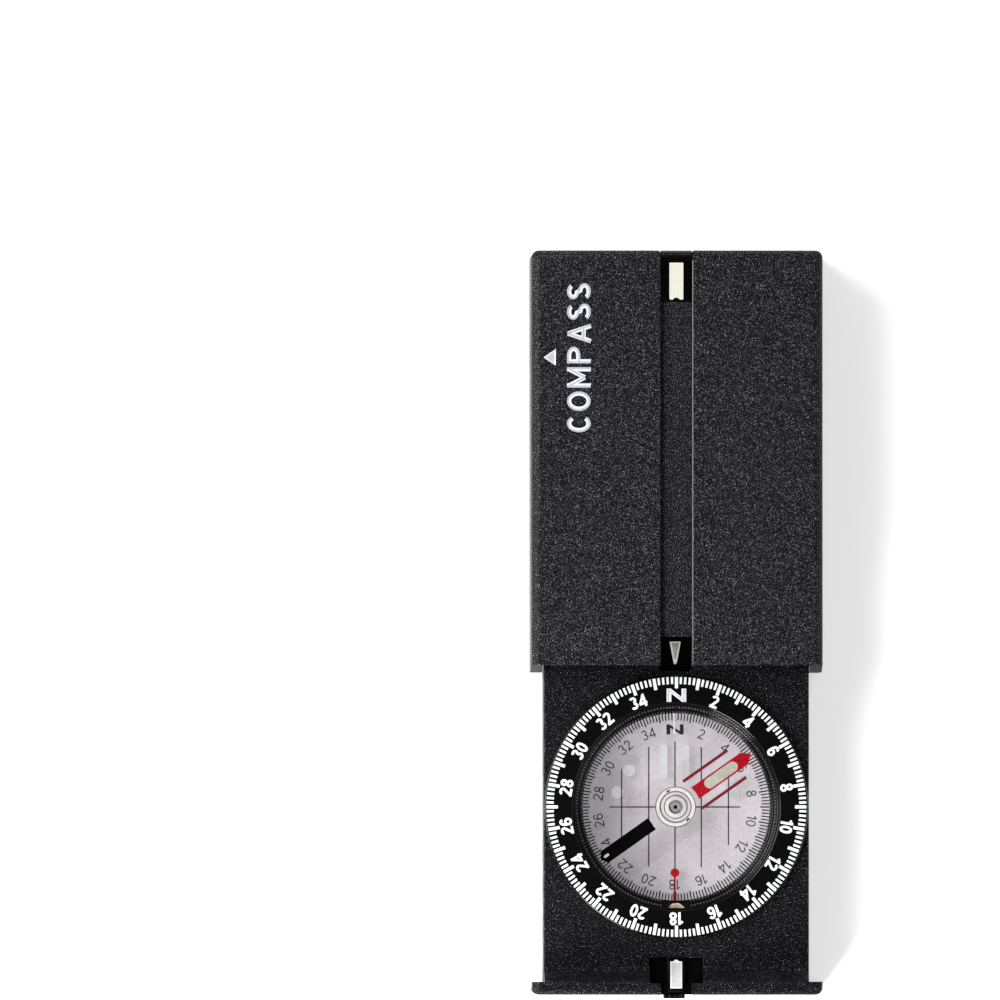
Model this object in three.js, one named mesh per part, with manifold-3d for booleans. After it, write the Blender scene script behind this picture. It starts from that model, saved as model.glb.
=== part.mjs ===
// Slide-out mirror compass: a capsule and turning bezel in a flat base, which slides into a box-shaped cover.
// Millimetres. +X is the wearer's right, +Y points along the direction of travel, +Z is up.
// The origin is at the middle of the underside, with the cover slid out to its stop and lying flat.
import * as THREE from "three";
import { mergeVertices } from "three/addons/utils/BufferGeometryUtils.js";
import Module from "manifold-3d";

const wasm = await Module();
wasm.setup();

// Whole object
const WIDTH = 44.2;
const HEIGHT = 18;
const OPEN_LENGTH = 113.5;
const COVER_LENGTH = 62.9;
const TRAVEL = 47.8;
const CORNER_R = 1.4;
const PLAN_CORNER_R = 1.2;

// Cover
const COVER_FAR = OPEN_LENGTH / 2;
const COVER_NEAR = COVER_FAR - COVER_LENGTH;
const WALL = 1.75;
const FAR_WALL = 2;
const TOP_PLATE = 1.6;
const EAR_REACH = 1.05;
const EAR_TOP = 12.4;
const CHANNEL_X = [-2.5, 2.3];
const CHANNEL_DEPTH = 0.9;
const NOTCH_LENGTH = 4.3;
const SIGHT_POCKET_OFFSET = 1.65;
const SIGHT_POCKET_LENGTH = 6.15;
const SIGHT_POCKET_DEPTH = 1.15;
const MIRROR_WIDTH = 39;
const MIRROR_THICKNESS = 1;
const MIRROR_NEAR = -1.2;
const MIRROR_FAR = 53;
const GLUE_THICKNESS = 0.2;

// Base
const BASE_WIDTH = 40.3;
const BASE_FAR = 5.85;
const CAP_THICKNESS = 2;
const TAB_REACH = 0.6;
const TAB_X = [-1.8, 1.4];
const TAB_Z = [4, 9];
const CAP_OUTER = -OPEN_LENGTH / 2 + TAB_REACH;
const CAP_INNER = CAP_OUTER + CAP_THICKNESS;
const DECK_Z = 12.6;
const RAMP_START = -52.1;
const RAMP_TOP_Z = 16.1;
const RECESS_WIDTH = 8.2;
const NEAR_SIGHT_X = 0;
const RECESS_FAR = -50.5;
const RECESS_FLOOR_Z = 11.6;
const INDEX_X = -0.15;
const INDEX_POCKET_Y = [-7, -1.8];
const INDEX_POCKET_WIDTH = 4.8;
const INDEX_POCKET_Z = 11.7;

// Slide and tilt hinge
const PIN_Y = -5.9;
const PIN_Z = 10.9;
const PIN_R = 0.7;
const SHOE_THICKNESS = 1.1;
const SHOE_HEIGHT = 2;
const SHOE_NEAR = -7.1;
const SHOE_FAR = -0.9;
const GROOVE_DEPTH = 1.3;
const WASHER_R = 1.25;
const SLIDE_GAP = 0.1;
const SIDE_GAP = 0.2;

// Bezel and capsule, all centred on the dial axis
const DIAL_Y = -27.65;
const BEZEL_R = 20;
const BAND_INNER_R = 15.8;
const BEZEL_TOP_Z = 13.5;
const BEZEL_UNDER_Z = 12.75;
const SKIRT_R = 18;
const SKIRT_INNER_R = 15.55;
const SKIRT_BOTTOM_Z = 2.4;
const LEDGE_Z = 12.2;
const LIP_UNDER_Z = 11.4;
const WINDOW_R = 14.2;
const CAPSULE_R = 15.45;
const CAPSULE_INNER_R = 14.7;
const FLOOR_UNDER_Z = 4.4;
const FLOOR_Z = 5.4;
const RIM_Z = 10;
const GASKET_THICKNESS = 0.3;
const LID_UNDER_Z = 10.4;
const LID_Z = 11.3;
const BASE_BORE_R = 18.25;
const RETAINER_R = 19.2;

// Declination gear: a toothed disc and the small pinion that turns it
const GEAR_MODULE = 0.3;
const DISC_TEETH = 100;
const PINION_TEETH = 8;
const DISC_UNDER_Z = 3.3;
const DISC_Z = 4.3;
const SCREW_HEAD_R = 1.55;
const SCREW_SHANK_R = 0.7;
const SCREW_Y = DIAL_Y - (GEAR_MODULE * (DISC_TEETH + PINION_TEETH)) / 2;

// Needle, resting 54.8 degrees clockwise of the direction of travel
const NEEDLE_BEARING_DEG = 54.8;
const PLATE_HALF_WIDTH = 5;
const PLATE_TIP_R = 14.35;
const PLATE_UNDER_Z = 8;
const PLATE_THICKNESS = 0.5;
const ARM_THICKNESS = 0.15;
const ARM_HALF_WIDTH = 1.06;
const HUB_R = 3.1;
const HUB_Z = 9;
const HUB_SKIRT_Z = 6.6;
const JEWEL_R = 0.8;
const PIVOT_TIP_Z = 7.95;

const FULL_TURN = 2 * Math.PI;

const finish = (color, roughness, metalness = 0) => ({ color, roughness, metalness });
const FINISHES = {
  coverPlastic: finish("#1b1b1d", 0.62),
  basePlastic: finish("#19191b", 0.6),
  bezelPlastic: finish("#0b0b0c", 0.22),
  trimPlastic: finish("#101011", 0.5),
  shoePlastic: finish("#2a2a2c", 0.45),
  clearPlastic: finish("#d8dcdc", 0.05),
  luminous: finish("#eceada", 0.5),
  dullLuminous: finish("#a3a594", 0.55),
  steel: finish("#b9bcc0", 0.3, 1),
  magnet: finish("#6d7075", 0.4, 1),
  brass: finish("#b8904a", 0.32, 1),
  mirror: finish("#e8ecef", 0.03, 1),
  rubber: finish("#161616", 0.8),
  jewel: finish("#c7d6ea", 0.05),
  redPaint: finish("#c8262c", 0.4),
  blackPaint: finish("#141414", 0.4),
};

// --- geometry helpers -------------------------------------------------------

// A closed three.js geometry as a solid that can be joined and cut.
function solidOf(geometry) {
  const bare = geometry.clone();
  bare.deleteAttribute("normal");
  bare.deleteAttribute("uv");
  const merged = mergeVertices(bare, 1e-4);
  const corners = [];
  const index = merged.index.array;
  for (let i = 0; i < index.length; i += 3) {
    const [a, b, c] = [index[i], index[i + 1], index[i + 2]];
    if (a !== b && b !== c && c !== a) corners.push(a, b, c);
  }
  return new wasm.Manifold(
    new wasm.Mesh({
      numProp: 3,
      vertProperties: merged.attributes.position.array,
      triVerts: new Uint32Array(corners),
    }),
  );
}

// The surface of a solid as a three.js geometry.
function geometryOf(solid) {
  const mesh = solid.getMesh();
  const geometry = new THREE.BufferGeometry();
  geometry.setAttribute("position", new THREE.BufferAttribute(mesh.vertProperties, 3));
  geometry.setIndex(new THREE.BufferAttribute(mesh.triVerts, 1));
  return geometry;
}

function box([x0, x1], [y0, y1], [z0, z1]) {
  const geometry = new THREE.BoxGeometry(x1 - x0, y1 - y0, z1 - z0);
  geometry.translate((x0 + x1) / 2, (y0 + y1) / 2, (z0 + z1) / 2);
  return solidOf(geometry);
}

// An upright cylinder, or a cone when the top radius differs.
function post(radius, [x, y], [z0, z1], segments = 48, topRadius = radius) {
  const geometry = new THREE.CylinderGeometry(topRadius, radius, z1 - z0, segments);
  geometry.rotateX(Math.PI / 2);
  geometry.translate(x, y, (z0 + z1) / 2);
  return solidOf(geometry);
}

// A cylinder lying along X.
function rod(radius, [x0, x1], y, z, segments = 24) {
  const geometry = new THREE.CylinderGeometry(radius, radius, x1 - x0, segments);
  geometry.rotateZ(Math.PI / 2);
  geometry.translate((x0 + x1) / 2, y, z);
  return solidOf(geometry);
}

// A closed profile of [radius, height] points, turned about an upright axis.
function turned(profile, [x, y], segments) {
  const points = [...profile, profile[0]].map(([r, z]) => new THREE.Vector2(r, z));
  const geometry = new THREE.LatheGeometry(points, segments);
  geometry.rotateX(Math.PI / 2);
  geometry.translate(x, y, 0);
  return solidOf(geometry);
}

function outline(points) {
  return new THREE.Shape(points.map(([u, v]) => new THREE.Vector2(u, v)));
}

function extruded(shape, depth, curveSegments = 4) {
  return new THREE.ExtrudeGeometry(shape, { depth, bevelEnabled: false, curveSegments });
}

// A plan outline (x, y) raised from z0 to z1.
function prismZ(shape, [z0, z1], curveSegments) {
  const geometry = extruded(shape, z1 - z0, curveSegments);
  geometry.translate(0, 0, z0);
  return solidOf(geometry);
}

// A side outline (y, z) carried across from x0 to x1.
function prismX(shape, [x0, x1]) {
  const geometry = extruded(shape, x1 - x0);
  const axes = [new THREE.Vector3(0, 1, 0), new THREE.Vector3(0, 0, 1), new THREE.Vector3(1, 0, 0)];
  geometry.applyMatrix4(new THREE.Matrix4().makeBasis(...axes));
  geometry.translate(x0, 0, 0);
  return solidOf(geometry);
}

// An end outline (x, z) carried along from y0 to y1.
function prismY(shape, [y0, y1]) {
  const geometry = extruded(shape, y1 - y0);
  const axes = [new THREE.Vector3(1, 0, 0), new THREE.Vector3(0, 0, 1), new THREE.Vector3(0, -1, 0)];
  geometry.applyMatrix4(new THREE.Matrix4().makeBasis(...axes));
  geometry.translate(0, y1, 0);
  return solidOf(geometry);
}

// The end view that the cover and the base's end cap share: square below, rounded at the top.
function caseSection() {
  const half = WIDTH / 2;
  const shape = new THREE.Shape();
  shape.moveTo(-half, 0);
  shape.lineTo(half, 0);
  shape.lineTo(half, HEIGHT - CORNER_R);
  shape.absarc(half - CORNER_R, HEIGHT - CORNER_R, CORNER_R, 0, Math.PI / 2, false);
  shape.lineTo(-half + CORNER_R, HEIGHT);
  shape.absarc(-half + CORNER_R, HEIGHT - CORNER_R, CORNER_R, Math.PI / 2, Math.PI, false);
  shape.closePath();
  return shape;
}

// A rectangle in plan with its two corners at yRound rounded, as wide as halfWidth each side.
function planWithRoundEnd(halfWidth, ySquare, yRound, radius) {
  const side = Math.sign(yRound - ySquare);
  const points = [];
  points.push([-halfWidth, ySquare]);
  for (const [sign, from, to] of [[-1, Math.PI, Math.PI / 2], [1, Math.PI / 2, 0]]) {
    for (let step = 0; step <= 4; step += 1) {
      const angle = from + ((to - from) * step) / 4;
      const x = sign * (halfWidth - radius) + radius * Math.cos(angle);
      const y = yRound - side * radius + side * radius * Math.sin(angle);
      points.push([x, y]);
    }
  }
  points.push([halfWidth, ySquare]);
  return outline(side > 0 ? points.reverse() : points);
}

const around = (middle, width) => [middle - width / 2, middle + width / 2];
const centred = (width) => around(0, width);
const mirroredX = ([x0, x1], side) => (side > 0 ? [x0, x1] : [-x1, -x0]);

// --- assembly ---------------------------------------------------------------

const compass = new THREE.Group();

function add(name, solid, finishName, parent = compass) {
  const material = new THREE.MeshStandardMaterial(FINISHES[finishName]);
  const mesh = new THREE.Mesh(geometryOf(solid), material);
  mesh.name = name;
  parent.add(mesh);
}

// --- base -------------------------------------------------------------------

const GROOVE_X = [BASE_WIDTH / 2 - GROOVE_DEPTH, BASE_WIDTH / 2 + 1];
const GROOVE_Z = [PIN_Z - SHOE_HEIGHT / 2 - SLIDE_GAP, PIN_Z + SHOE_HEIGHT / 2 + SLIDE_GAP];
const GROOVE_Y = [SHOE_NEAR - TRAVEL - SIDE_GAP, SHOE_FAR + SIDE_GAP];

function endCap() {
  const slab = prismY(caseSection(), [CAP_OUTER, CAP_INNER]);
  const plan = planWithRoundEnd(WIDTH / 2, CAP_INNER + 1, CAP_OUTER, PLAN_CORNER_R);
  const tab = box(TAB_X, [CAP_OUTER - TAB_REACH, CAP_OUTER + 0.5], TAB_Z);
  const slot = box(CHANNEL_X, [CAP_OUTER - 1, CAP_INNER + 1], [RECESS_FLOOR_Z, HEIGHT + 1]);
  let cap = slab.intersect(prismZ(plan, [-1, HEIGHT + 1])).add(tab).subtract(slot);
  // Each wing is thinned behind the cover's hinge ears, so that the shut cover meets its upper edge.
  for (const side of [-1, 1]) {
    const x = mirroredX([BASE_WIDTH / 2, WIDTH / 2 + 1], side);
    const relief = box(x, [CAP_INNER - EAR_REACH - 0.1, CAP_INNER + 1], [-1, HEIGHT - TOP_PLATE]);
    cap = cap.subtract(relief);
  }
  return cap;
}

function baseHousing() {
  const plan = planWithRoundEnd(BASE_WIDTH / 2, CAP_INNER - 0.2, BASE_FAR, 1);
  const ramp = outline([
    [CAP_INNER - 0.2, DECK_Z - 1],
    [RAMP_START, DECK_Z - 1],
    [RAMP_START, DECK_Z],
    [CAP_INNER, RAMP_TOP_Z],
    [CAP_INNER - 0.2, RAMP_TOP_Z],
  ]);
  let base = prismZ(plan, [0, DECK_Z]).add(prismX(ramp, centred(BASE_WIDTH))).add(endCap());
  base = base.subtract(post(BASE_BORE_R, [0, DIAL_Y], [-1, DECK_Z + 1], 96));
  base = base.subtract(post(RETAINER_R + 0.2, [0, DIAL_Y], [-1, SKIRT_BOTTOM_Z + 2.2], 96));
  const recessY = [CAP_INNER - 0.3, RECESS_FAR];
  base = base.subtract(box(around(NEAR_SIGHT_X, RECESS_WIDTH), recessY, [RECESS_FLOOR_Z, HEIGHT]));
  const indexPocketX = around(INDEX_X, INDEX_POCKET_WIDTH);
  base = base.subtract(box(indexPocketX, INDEX_POCKET_Y, [INDEX_POCKET_Z, HEIGHT]));
  for (const side of [-1, 1]) {
    base = base.subtract(box(mirroredX(GROOVE_X, side), GROOVE_Y, GROOVE_Z));
  }
  return base;
}

const SIGHT_NEAR_Y = [-55.75, -50.6];

function nearSightHolder() {
  const frame = box(around(NEAR_SIGHT_X, 2.6), SIGHT_NEAR_Y, [RECESS_FLOOR_Z, RECESS_FLOOR_Z + 1]);
  const pocketY = [SIGHT_NEAR_Y[0] + 0.3, SIGHT_NEAR_Y[1] - 0.3];
  const pocketZ = [RECESS_FLOOR_Z + 0.3, RECESS_FLOOR_Z + 2];
  return frame.subtract(box(around(NEAR_SIGHT_X, 2.1), pocketY, pocketZ));
}

function nearSightMark() {
  const y = [SIGHT_NEAR_Y[0] + 0.4, SIGHT_NEAR_Y[1] - 0.4];
  return box(around(NEAR_SIGHT_X, 1.9), y, [RECESS_FLOOR_Z + 0.35, RECESS_FLOOR_Z + 1.1]);
}

// The bearing index: a long triangle that stands in its pocket, with its tip towards the dial.
function indexMark() {
  const points = [[INDEX_X + 0.9, -2.5], [INDEX_X - 0.9, -2.5], [INDEX_X, -6]];
  return prismZ(outline(points), [INDEX_POCKET_Z, DECK_Z + 0.1]);
}

// --- slide shoes and friction washers ---------------------------------------

const SHOE_X = [BASE_WIDTH / 2 - SHOE_THICKNESS - SLIDE_GAP, BASE_WIDTH / 2 - SLIDE_GAP];
const COVER_INNER_X = WIDTH / 2 - WALL;
const WASHER_X = [BASE_WIDTH / 2 + 0.03, COVER_INNER_X - 0.03];

function slideShoe(side) {
  const z = [PIN_Z - SHOE_HEIGHT / 2, PIN_Z + SHOE_HEIGHT / 2];
  const block = box(mirroredX(SHOE_X, side), [SHOE_NEAR, SHOE_FAR], z);
  return block.subtract(rod(PIN_R + 0.06, mirroredX([SHOE_X[0] - 1, SHOE_X[1] + 1], side), PIN_Y, PIN_Z));
}

function frictionWasher(side) {
  const bore = mirroredX([WASHER_X[0] - 1, WASHER_X[1] + 1], side);
  const ring = rod(WASHER_R, mirroredX(WASHER_X, side), PIN_Y, PIN_Z);
  return ring.subtract(rod(PIN_R + 0.1, bore, PIN_Y, PIN_Z));
}

// --- cover ------------------------------------------------------------------

function coverShell() {
  const earNear = COVER_NEAR - EAR_REACH;
  const side = new THREE.Shape();
  side.moveTo(PIN_Y, 0);
  side.lineTo(COVER_FAR, 0);
  side.lineTo(COVER_FAR, HEIGHT - CORNER_R);
  side.absarc(COVER_FAR - CORNER_R, HEIGHT - CORNER_R, CORNER_R, 0, Math.PI / 2, false);
  side.lineTo(COVER_NEAR, HEIGHT);
  side.lineTo(COVER_NEAR, HEIGHT - TOP_PLATE - 0.2);
  side.lineTo(earNear, EAR_TOP);
  side.lineTo(earNear, 0.3);
  side.closePath();
  const plan = planWithRoundEnd(WIDTH / 2, earNear - 1, COVER_FAR, PLAN_CORNER_R);
  let shell = prismY(caseSection(), [earNear - 1, COVER_FAR])
    .intersect(prismX(side, centred(WIDTH + 2)))
    .intersect(prismZ(plan, [-1, HEIGHT + 1]));
  const hollowY = [earNear - 2, COVER_FAR - FAR_WALL];
  shell = shell.subtract(box(centred(2 * COVER_INNER_X), hollowY, [-1, HEIGHT - TOP_PLATE]));
  const channelY = [COVER_NEAR - 1, COVER_FAR - 1];
  shell = shell.subtract(box(CHANNEL_X, channelY, [HEIGHT - CHANNEL_DEPTH, HEIGHT + 1]));
  const notchY = [COVER_NEAR - 1, COVER_NEAR + NOTCH_LENGTH];
  shell = shell.subtract(box(CHANNEL_X, notchY, [HEIGHT - TOP_PLATE - 1, HEIGHT + 1]));
  shell = shell.subtract(box(CHANNEL_X, SIGHT_POCKET_Y, [SIGHT_POCKET_Z, HEIGHT + 1]));
  for (const sign of [-1, 1]) {
    const x = mirroredX([COVER_INNER_X - 1, WIDTH / 2 + 1], sign);
    shell = shell.subtract(rod(PIN_R + 0.03, x, PIN_Y, PIN_Z));
  }
  return shell;
}

const SIGHT_POCKET_FAR = COVER_FAR - SIGHT_POCKET_OFFSET;
const SIGHT_POCKET_Y = [SIGHT_POCKET_FAR - SIGHT_POCKET_LENGTH, SIGHT_POCKET_FAR];
const SIGHT_POCKET_Z = HEIGHT - SIGHT_POCKET_DEPTH;
const SIGHT_X = (CHANNEL_X[0] + CHANNEL_X[1]) / 2;

function farSightHolder() {
  const y = [SIGHT_POCKET_Y[0] + 0.1, SIGHT_POCKET_Y[1] - 0.1];
  const tray = box(around(SIGHT_X, 4.3), y, [SIGHT_POCKET_Z, SIGHT_POCKET_Z + 0.5]);
  const pocketY = [y[0] + 0.15, y[1] - 0.1];
  return tray.subtract(box(around(SIGHT_X, 2.3), pocketY, [SIGHT_POCKET_Z + 0.25, HEIGHT]));
}

function farSightMark() {
  const y = [SIGHT_POCKET_Y[0] + 0.3, SIGHT_POCKET_Y[1] - 0.25];
  return box(around(SIGHT_X, 2.1), y, [SIGHT_POCKET_Z + 0.3, SIGHT_POCKET_Z + 0.9]);
}

function mirrorGlass() {
  const top = HEIGHT - TOP_PLATE - GLUE_THICKNESS;
  return box(centred(MIRROR_WIDTH), [MIRROR_NEAR, MIRROR_FAR], [top - MIRROR_THICKNESS, top]);
}

function mirrorAdhesive() {
  const top = HEIGHT - TOP_PLATE;
  return box(centred(MIRROR_WIDTH - 4), [MIRROR_NEAR + 2, MIRROR_FAR - 2], [top - GLUE_THICKNESS, top]);
}

function hingePin(side) {
  return rod(PIN_R, mirroredX([SHOE_X[0] + 0.2, WIDTH / 2 - 0.1], side), PIN_Y, PIN_Z);
}

// --- bezel and capsule ------------------------------------------------------

const DIAL = [0, DIAL_Y];

function bezelRing() {
  const chamfer = 0.3;
  const profile = [
    [SKIRT_INNER_R, SKIRT_BOTTOM_Z],
    [SKIRT_R, SKIRT_BOTTOM_Z],
    [SKIRT_R, BEZEL_UNDER_Z],
    [BEZEL_R, BEZEL_UNDER_Z],
    [BEZEL_R, BEZEL_TOP_Z - chamfer],
    [BEZEL_R - chamfer, BEZEL_TOP_Z],
    [BAND_INNER_R, BEZEL_TOP_Z],
    [BAND_INNER_R, LEDGE_Z],
    [WINDOW_R, LEDGE_Z],
    [WINDOW_R, LIP_UNDER_Z],
    [SKIRT_INNER_R, LIP_UNDER_Z],
  ];
  const screw = [0, SCREW_Y];
  return turned(profile, DIAL, 90)
    .subtract(post(SCREW_HEAD_R + 0.08, screw, [LIP_UNDER_Z - 0.05, LEDGE_Z + 0.2], 24))
    .subtract(post(SCREW_SHANK_R + 0.15, screw, [DISC_Z, LEDGE_Z], 16))
    .subtract(post(SCREW_HEAD_R + 0.15, screw, [SKIRT_BOTTOM_Z - 1, DISC_Z + 0.1], 24));
}

function bezelRetainer() {
  const under = SKIRT_BOTTOM_Z + 0.3;
  const top = SKIRT_BOTTOM_Z + 2;
  const inner = SKIRT_R + 0.05;
  return turned([[inner, under], [RETAINER_R, under], [RETAINER_R, top], [inner, top]], DIAL, 90);
}

function capsuleCase() {
  const profile = [
    [0, FLOOR_UNDER_Z],
    [CAPSULE_R, FLOOR_UNDER_Z],
    [CAPSULE_R, RIM_Z],
    [CAPSULE_INNER_R, RIM_Z],
    [CAPSULE_INNER_R, FLOOR_Z],
    [0, FLOOR_Z],
  ];
  return turned(profile, DIAL, 72);
}

function capsuleGasket() {
  const z = [RIM_Z + 0.05, RIM_Z + 0.05 + GASKET_THICKNESS];
  const [outer, inner] = [CAPSULE_R - 0.05, CAPSULE_INNER_R + 0.05];
  return turned([[inner, z[0]], [outer, z[0]], [outer, z[1]], [inner, z[1]]], DIAL, 72);
}

function capsuleLid() {
  return post(CAPSULE_R, DIAL, [LID_UNDER_Z, LID_Z], 72);
}

function capsuleBackPlate() {
  const plate = post(CAPSULE_R, DIAL, [SKIRT_BOTTOM_Z, DISC_UNDER_Z - 0.1], 72);
  return plate.subtract(post(SCREW_HEAD_R, [0, SCREW_Y], [0, DISC_Z], 24));
}

function pivotPost() {
  const foot = post(1, DIAL, [FLOOR_Z, FLOOR_Z + 0.5], 24);
  const shaft = post(0.45, DIAL, [FLOOR_Z + 0.4, PIVOT_TIP_Z - 0.8], 16);
  const tip = post(0.45, DIAL, [PIVOT_TIP_Z - 0.8, PIVOT_TIP_Z], 16, 0.06);
  return foot.add(shaft).add(tip);
}

// --- declination gear -------------------------------------------------------

// A spur gear in plan: narrow straight-sided teeth with clearance at the tip, the root and both flanks.
function gearSolid(teeth, centre, z, turn) {
  const pitchR = (GEAR_MODULE * teeth) / 2;
  const [tipR, rootR] = [pitchR + 0.8 * GEAR_MODULE, pitchR - 1.1 * GEAR_MODULE];
  const pitchAngle = FULL_TURN / teeth;
  const points = [];
  for (let tooth = 0; tooth < teeth; tooth += 1) {
    for (const [r, part] of [[rootR, -0.27], [tipR, -0.1], [tipR, 0.1], [rootR, 0.27]]) {
      const angle = turn + (tooth + part) * pitchAngle;
      points.push([centre[0] + r * Math.cos(angle), centre[1] + r * Math.sin(angle)]);
    }
  }
  return prismZ(outline(points), z);
}

function declinationDisc() {
  // A tooth points straight at the pinion.
  return gearSolid(DISC_TEETH, DIAL, [DISC_UNDER_Z, DISC_Z], -Math.PI / 2);
}

function declinationScrew() {
  const centre = [0, SCREW_Y];
  const pinionTurn = Math.PI / 2 + Math.PI / PINION_TEETH;
  const pinion = gearSolid(PINION_TEETH, centre, [DISC_UNDER_Z, DISC_Z], pinionTurn);
  const shank = post(SCREW_SHANK_R, centre, [SKIRT_BOTTOM_Z, LIP_UNDER_Z + 0.2], 16);
  const head = post(SCREW_HEAD_R, centre, [LIP_UNDER_Z + 0.1, LEDGE_Z], 24);
  const driverSlot = box([-1, 1], [SCREW_Y - 0.15, SCREW_Y + 0.15], [0, SKIRT_BOTTOM_Z + 0.4]);
  return pinion.add(shank).add(head).subtract(driverSlot);
}

// --- needle -----------------------------------------------------------------

// The needle's parts are drawn pointing along +Y at the origin, and are turned together.
const PLATE_Z = [PLATE_UNDER_Z, PLATE_UNDER_Z + PLATE_THICKNESS];
const ARM_Z = [PLATE_Z[1] + 0.05, PLATE_Z[1] + 0.05 + ARM_THICKNESS];

function needlePlate() {
  const strip = box(centred(2 * PLATE_HALF_WIDTH), centred(2 * PLATE_TIP_R), PLATE_Z);
  const disc = post(PLATE_TIP_R, [0, 0], PLATE_Z, 64);
  return strip.intersect(disc).subtract(post(HUB_R + 0.05, [0, 0], [0, HEIGHT], 48));
}

// An arm from a root near the hub to a blunt point; direction is 1 for north and -1 for south.
function needleArm(direction, rootR, shoulderR, tipR) {
  const half = ARM_HALF_WIDTH;
  const points = [[-half, rootR], [half, rootR], [half, shoulderR], [0, tipR], [-half, shoulderR]];
  const turnedPoints = points.map(([x, y]) => [direction * x, direction * y]);
  return prismZ(outline(turnedPoints), ARM_Z);
}

function needleHub() {
  const skirtInner = HUB_R - 0.4;
  const profile = [
    [JEWEL_R + 0.05, PLATE_UNDER_Z],
    [skirtInner, PLATE_UNDER_Z],
    [skirtInner, HUB_SKIRT_Z],
    [HUB_R, HUB_SKIRT_Z],
    [HUB_R, HUB_Z - 0.3],
    [HUB_R - 0.5, HUB_Z - 0.3],
    [HUB_R - 0.5, HUB_Z - 0.1],
    [HUB_R - 1.2, HUB_Z - 0.1],
    [HUB_R - 1.2, HUB_Z],
    [JEWEL_R + 0.05, HUB_Z],
  ];
  return turned(profile, [0, 0], 40);
}

function jewelBearing() {
  const cup = post(JEWEL_R, [0, 0], [PLATE_UNDER_Z - 0.3, PLATE_UNDER_Z + 0.7], 24);
  return cup.subtract(post(0.6, [0, 0], [PLATE_UNDER_Z - 0.4, PLATE_UNDER_Z + 0.15], 16, 0.12));
}

function needleMagnet() {
  const z = [PLATE_UNDER_Z - 0.95, PLATE_UNDER_Z - 0.05];
  const [inner, outer] = [1.1, HUB_R - 0.5];
  return turned([[inner, z[0]], [outer, z[0]], [outer, z[1]], [inner, z[1]]], [0, 0], 32);
}

// --- build ------------------------------------------------------------------

add("base_housing", baseHousing(), "basePlastic");
add("near_sight_holder", nearSightHolder(), "trimPlastic");
add("near_sight_mark", nearSightMark(), "luminous");
add("index_mark", indexMark(), "dullLuminous");

for (const [name, side] of [["left", -1], ["right", 1]]) {
  add(`slide_shoe_${name}`, slideShoe(side), "shoePlastic");
  add(`friction_washer_${name}`, frictionWasher(side), "steel");
  add(`hinge_pin_${name}`, hingePin(side), "steel");
}

add("cover_shell", coverShell(), "coverPlastic");
add("far_sight_holder", farSightHolder(), "trimPlastic");
add("far_sight_mark", farSightMark(), "luminous");
add("mirror", mirrorGlass(), "mirror");
add("mirror_adhesive", mirrorAdhesive(), "rubber");

add("bezel_ring", bezelRing(), "bezelPlastic");
add("bezel_retaining_ring", bezelRetainer(), "trimPlastic");
add("capsule_case", capsuleCase(), "clearPlastic");
add("capsule_gasket", capsuleGasket(), "rubber");
add("capsule_lid", capsuleLid(), "clearPlastic");
add("capsule_back_plate", capsuleBackPlate(), "clearPlastic");
add("pivot_post", pivotPost(), "steel");
add("declination_disc", declinationDisc(), "clearPlastic");
add("declination_screw", declinationScrew(), "brass");

const needle = new THREE.Group();
needle.position.set(0, DIAL_Y, 0);
needle.rotation.z = -THREE.MathUtils.degToRad(NEEDLE_BEARING_DEG);
compass.add(needle);
add("needle_plate", needlePlate(), "clearPlastic", needle);
add("needle_north_arm", needleArm(1, 3.7, 12.9, 14), "redPaint", needle);
add("needle_south_arm", needleArm(-1, 4.3, 13.2, 14), "blackPaint", needle);
add("needle_hub", needleHub(), "clearPlastic", needle);
add("jewel_bearing", jewelBearing(), "jewel", needle);
add("needle_magnet", needleMagnet(), "magnet", needle);

export default compass;
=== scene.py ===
"""Slide-out mirror compass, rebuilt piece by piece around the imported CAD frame.

Shapes are drawn in millimetres in the CAD frame and turned into metres when each piece is finished.
"""
import math

import bmesh
import bpy
from mathutils import Matrix, Vector


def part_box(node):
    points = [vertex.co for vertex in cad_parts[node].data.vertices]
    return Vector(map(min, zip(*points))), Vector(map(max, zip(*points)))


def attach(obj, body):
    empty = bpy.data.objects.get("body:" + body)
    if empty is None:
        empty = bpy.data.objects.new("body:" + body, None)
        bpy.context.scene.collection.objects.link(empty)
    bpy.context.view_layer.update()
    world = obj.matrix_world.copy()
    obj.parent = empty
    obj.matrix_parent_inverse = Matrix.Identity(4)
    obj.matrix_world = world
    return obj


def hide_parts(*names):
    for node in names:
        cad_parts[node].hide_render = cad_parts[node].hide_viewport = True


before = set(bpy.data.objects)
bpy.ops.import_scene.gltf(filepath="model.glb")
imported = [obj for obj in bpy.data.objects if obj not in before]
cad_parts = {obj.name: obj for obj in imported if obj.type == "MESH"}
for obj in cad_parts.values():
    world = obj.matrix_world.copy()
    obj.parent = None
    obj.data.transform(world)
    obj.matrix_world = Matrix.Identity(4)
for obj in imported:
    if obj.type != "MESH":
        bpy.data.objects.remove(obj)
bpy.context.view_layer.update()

MM = 0.001
FULL_TURN = 2 * math.pi
ON_AXIS = 1e-6

# Faces of the CAD that the detailed pieces are drawn to, in millimetres.


def cad_span(node, axis):
    low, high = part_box(node)
    return low[axis] / MM, high[axis] / MM


def cad_spans(node):
    return [cad_span(node, axis) for axis in range(3)]


COVER_Y = cad_span("cover_shell", 1)
COVER_X = cad_span("cover_shell", 0)
COVER_TOP = cad_span("cover_shell", 2)[1]
BASE_Y = cad_span("base_housing", 1)
DIAL_Y = sum(cad_span("capsule_lid", 1)) / 2
HALF_WIDTH = (COVER_X[1] - COVER_X[0]) / 2

# --- spans and outlines ---------------------------------------------------------


def around(middle, width):
    return (middle - width / 2, middle + width / 2)


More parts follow.
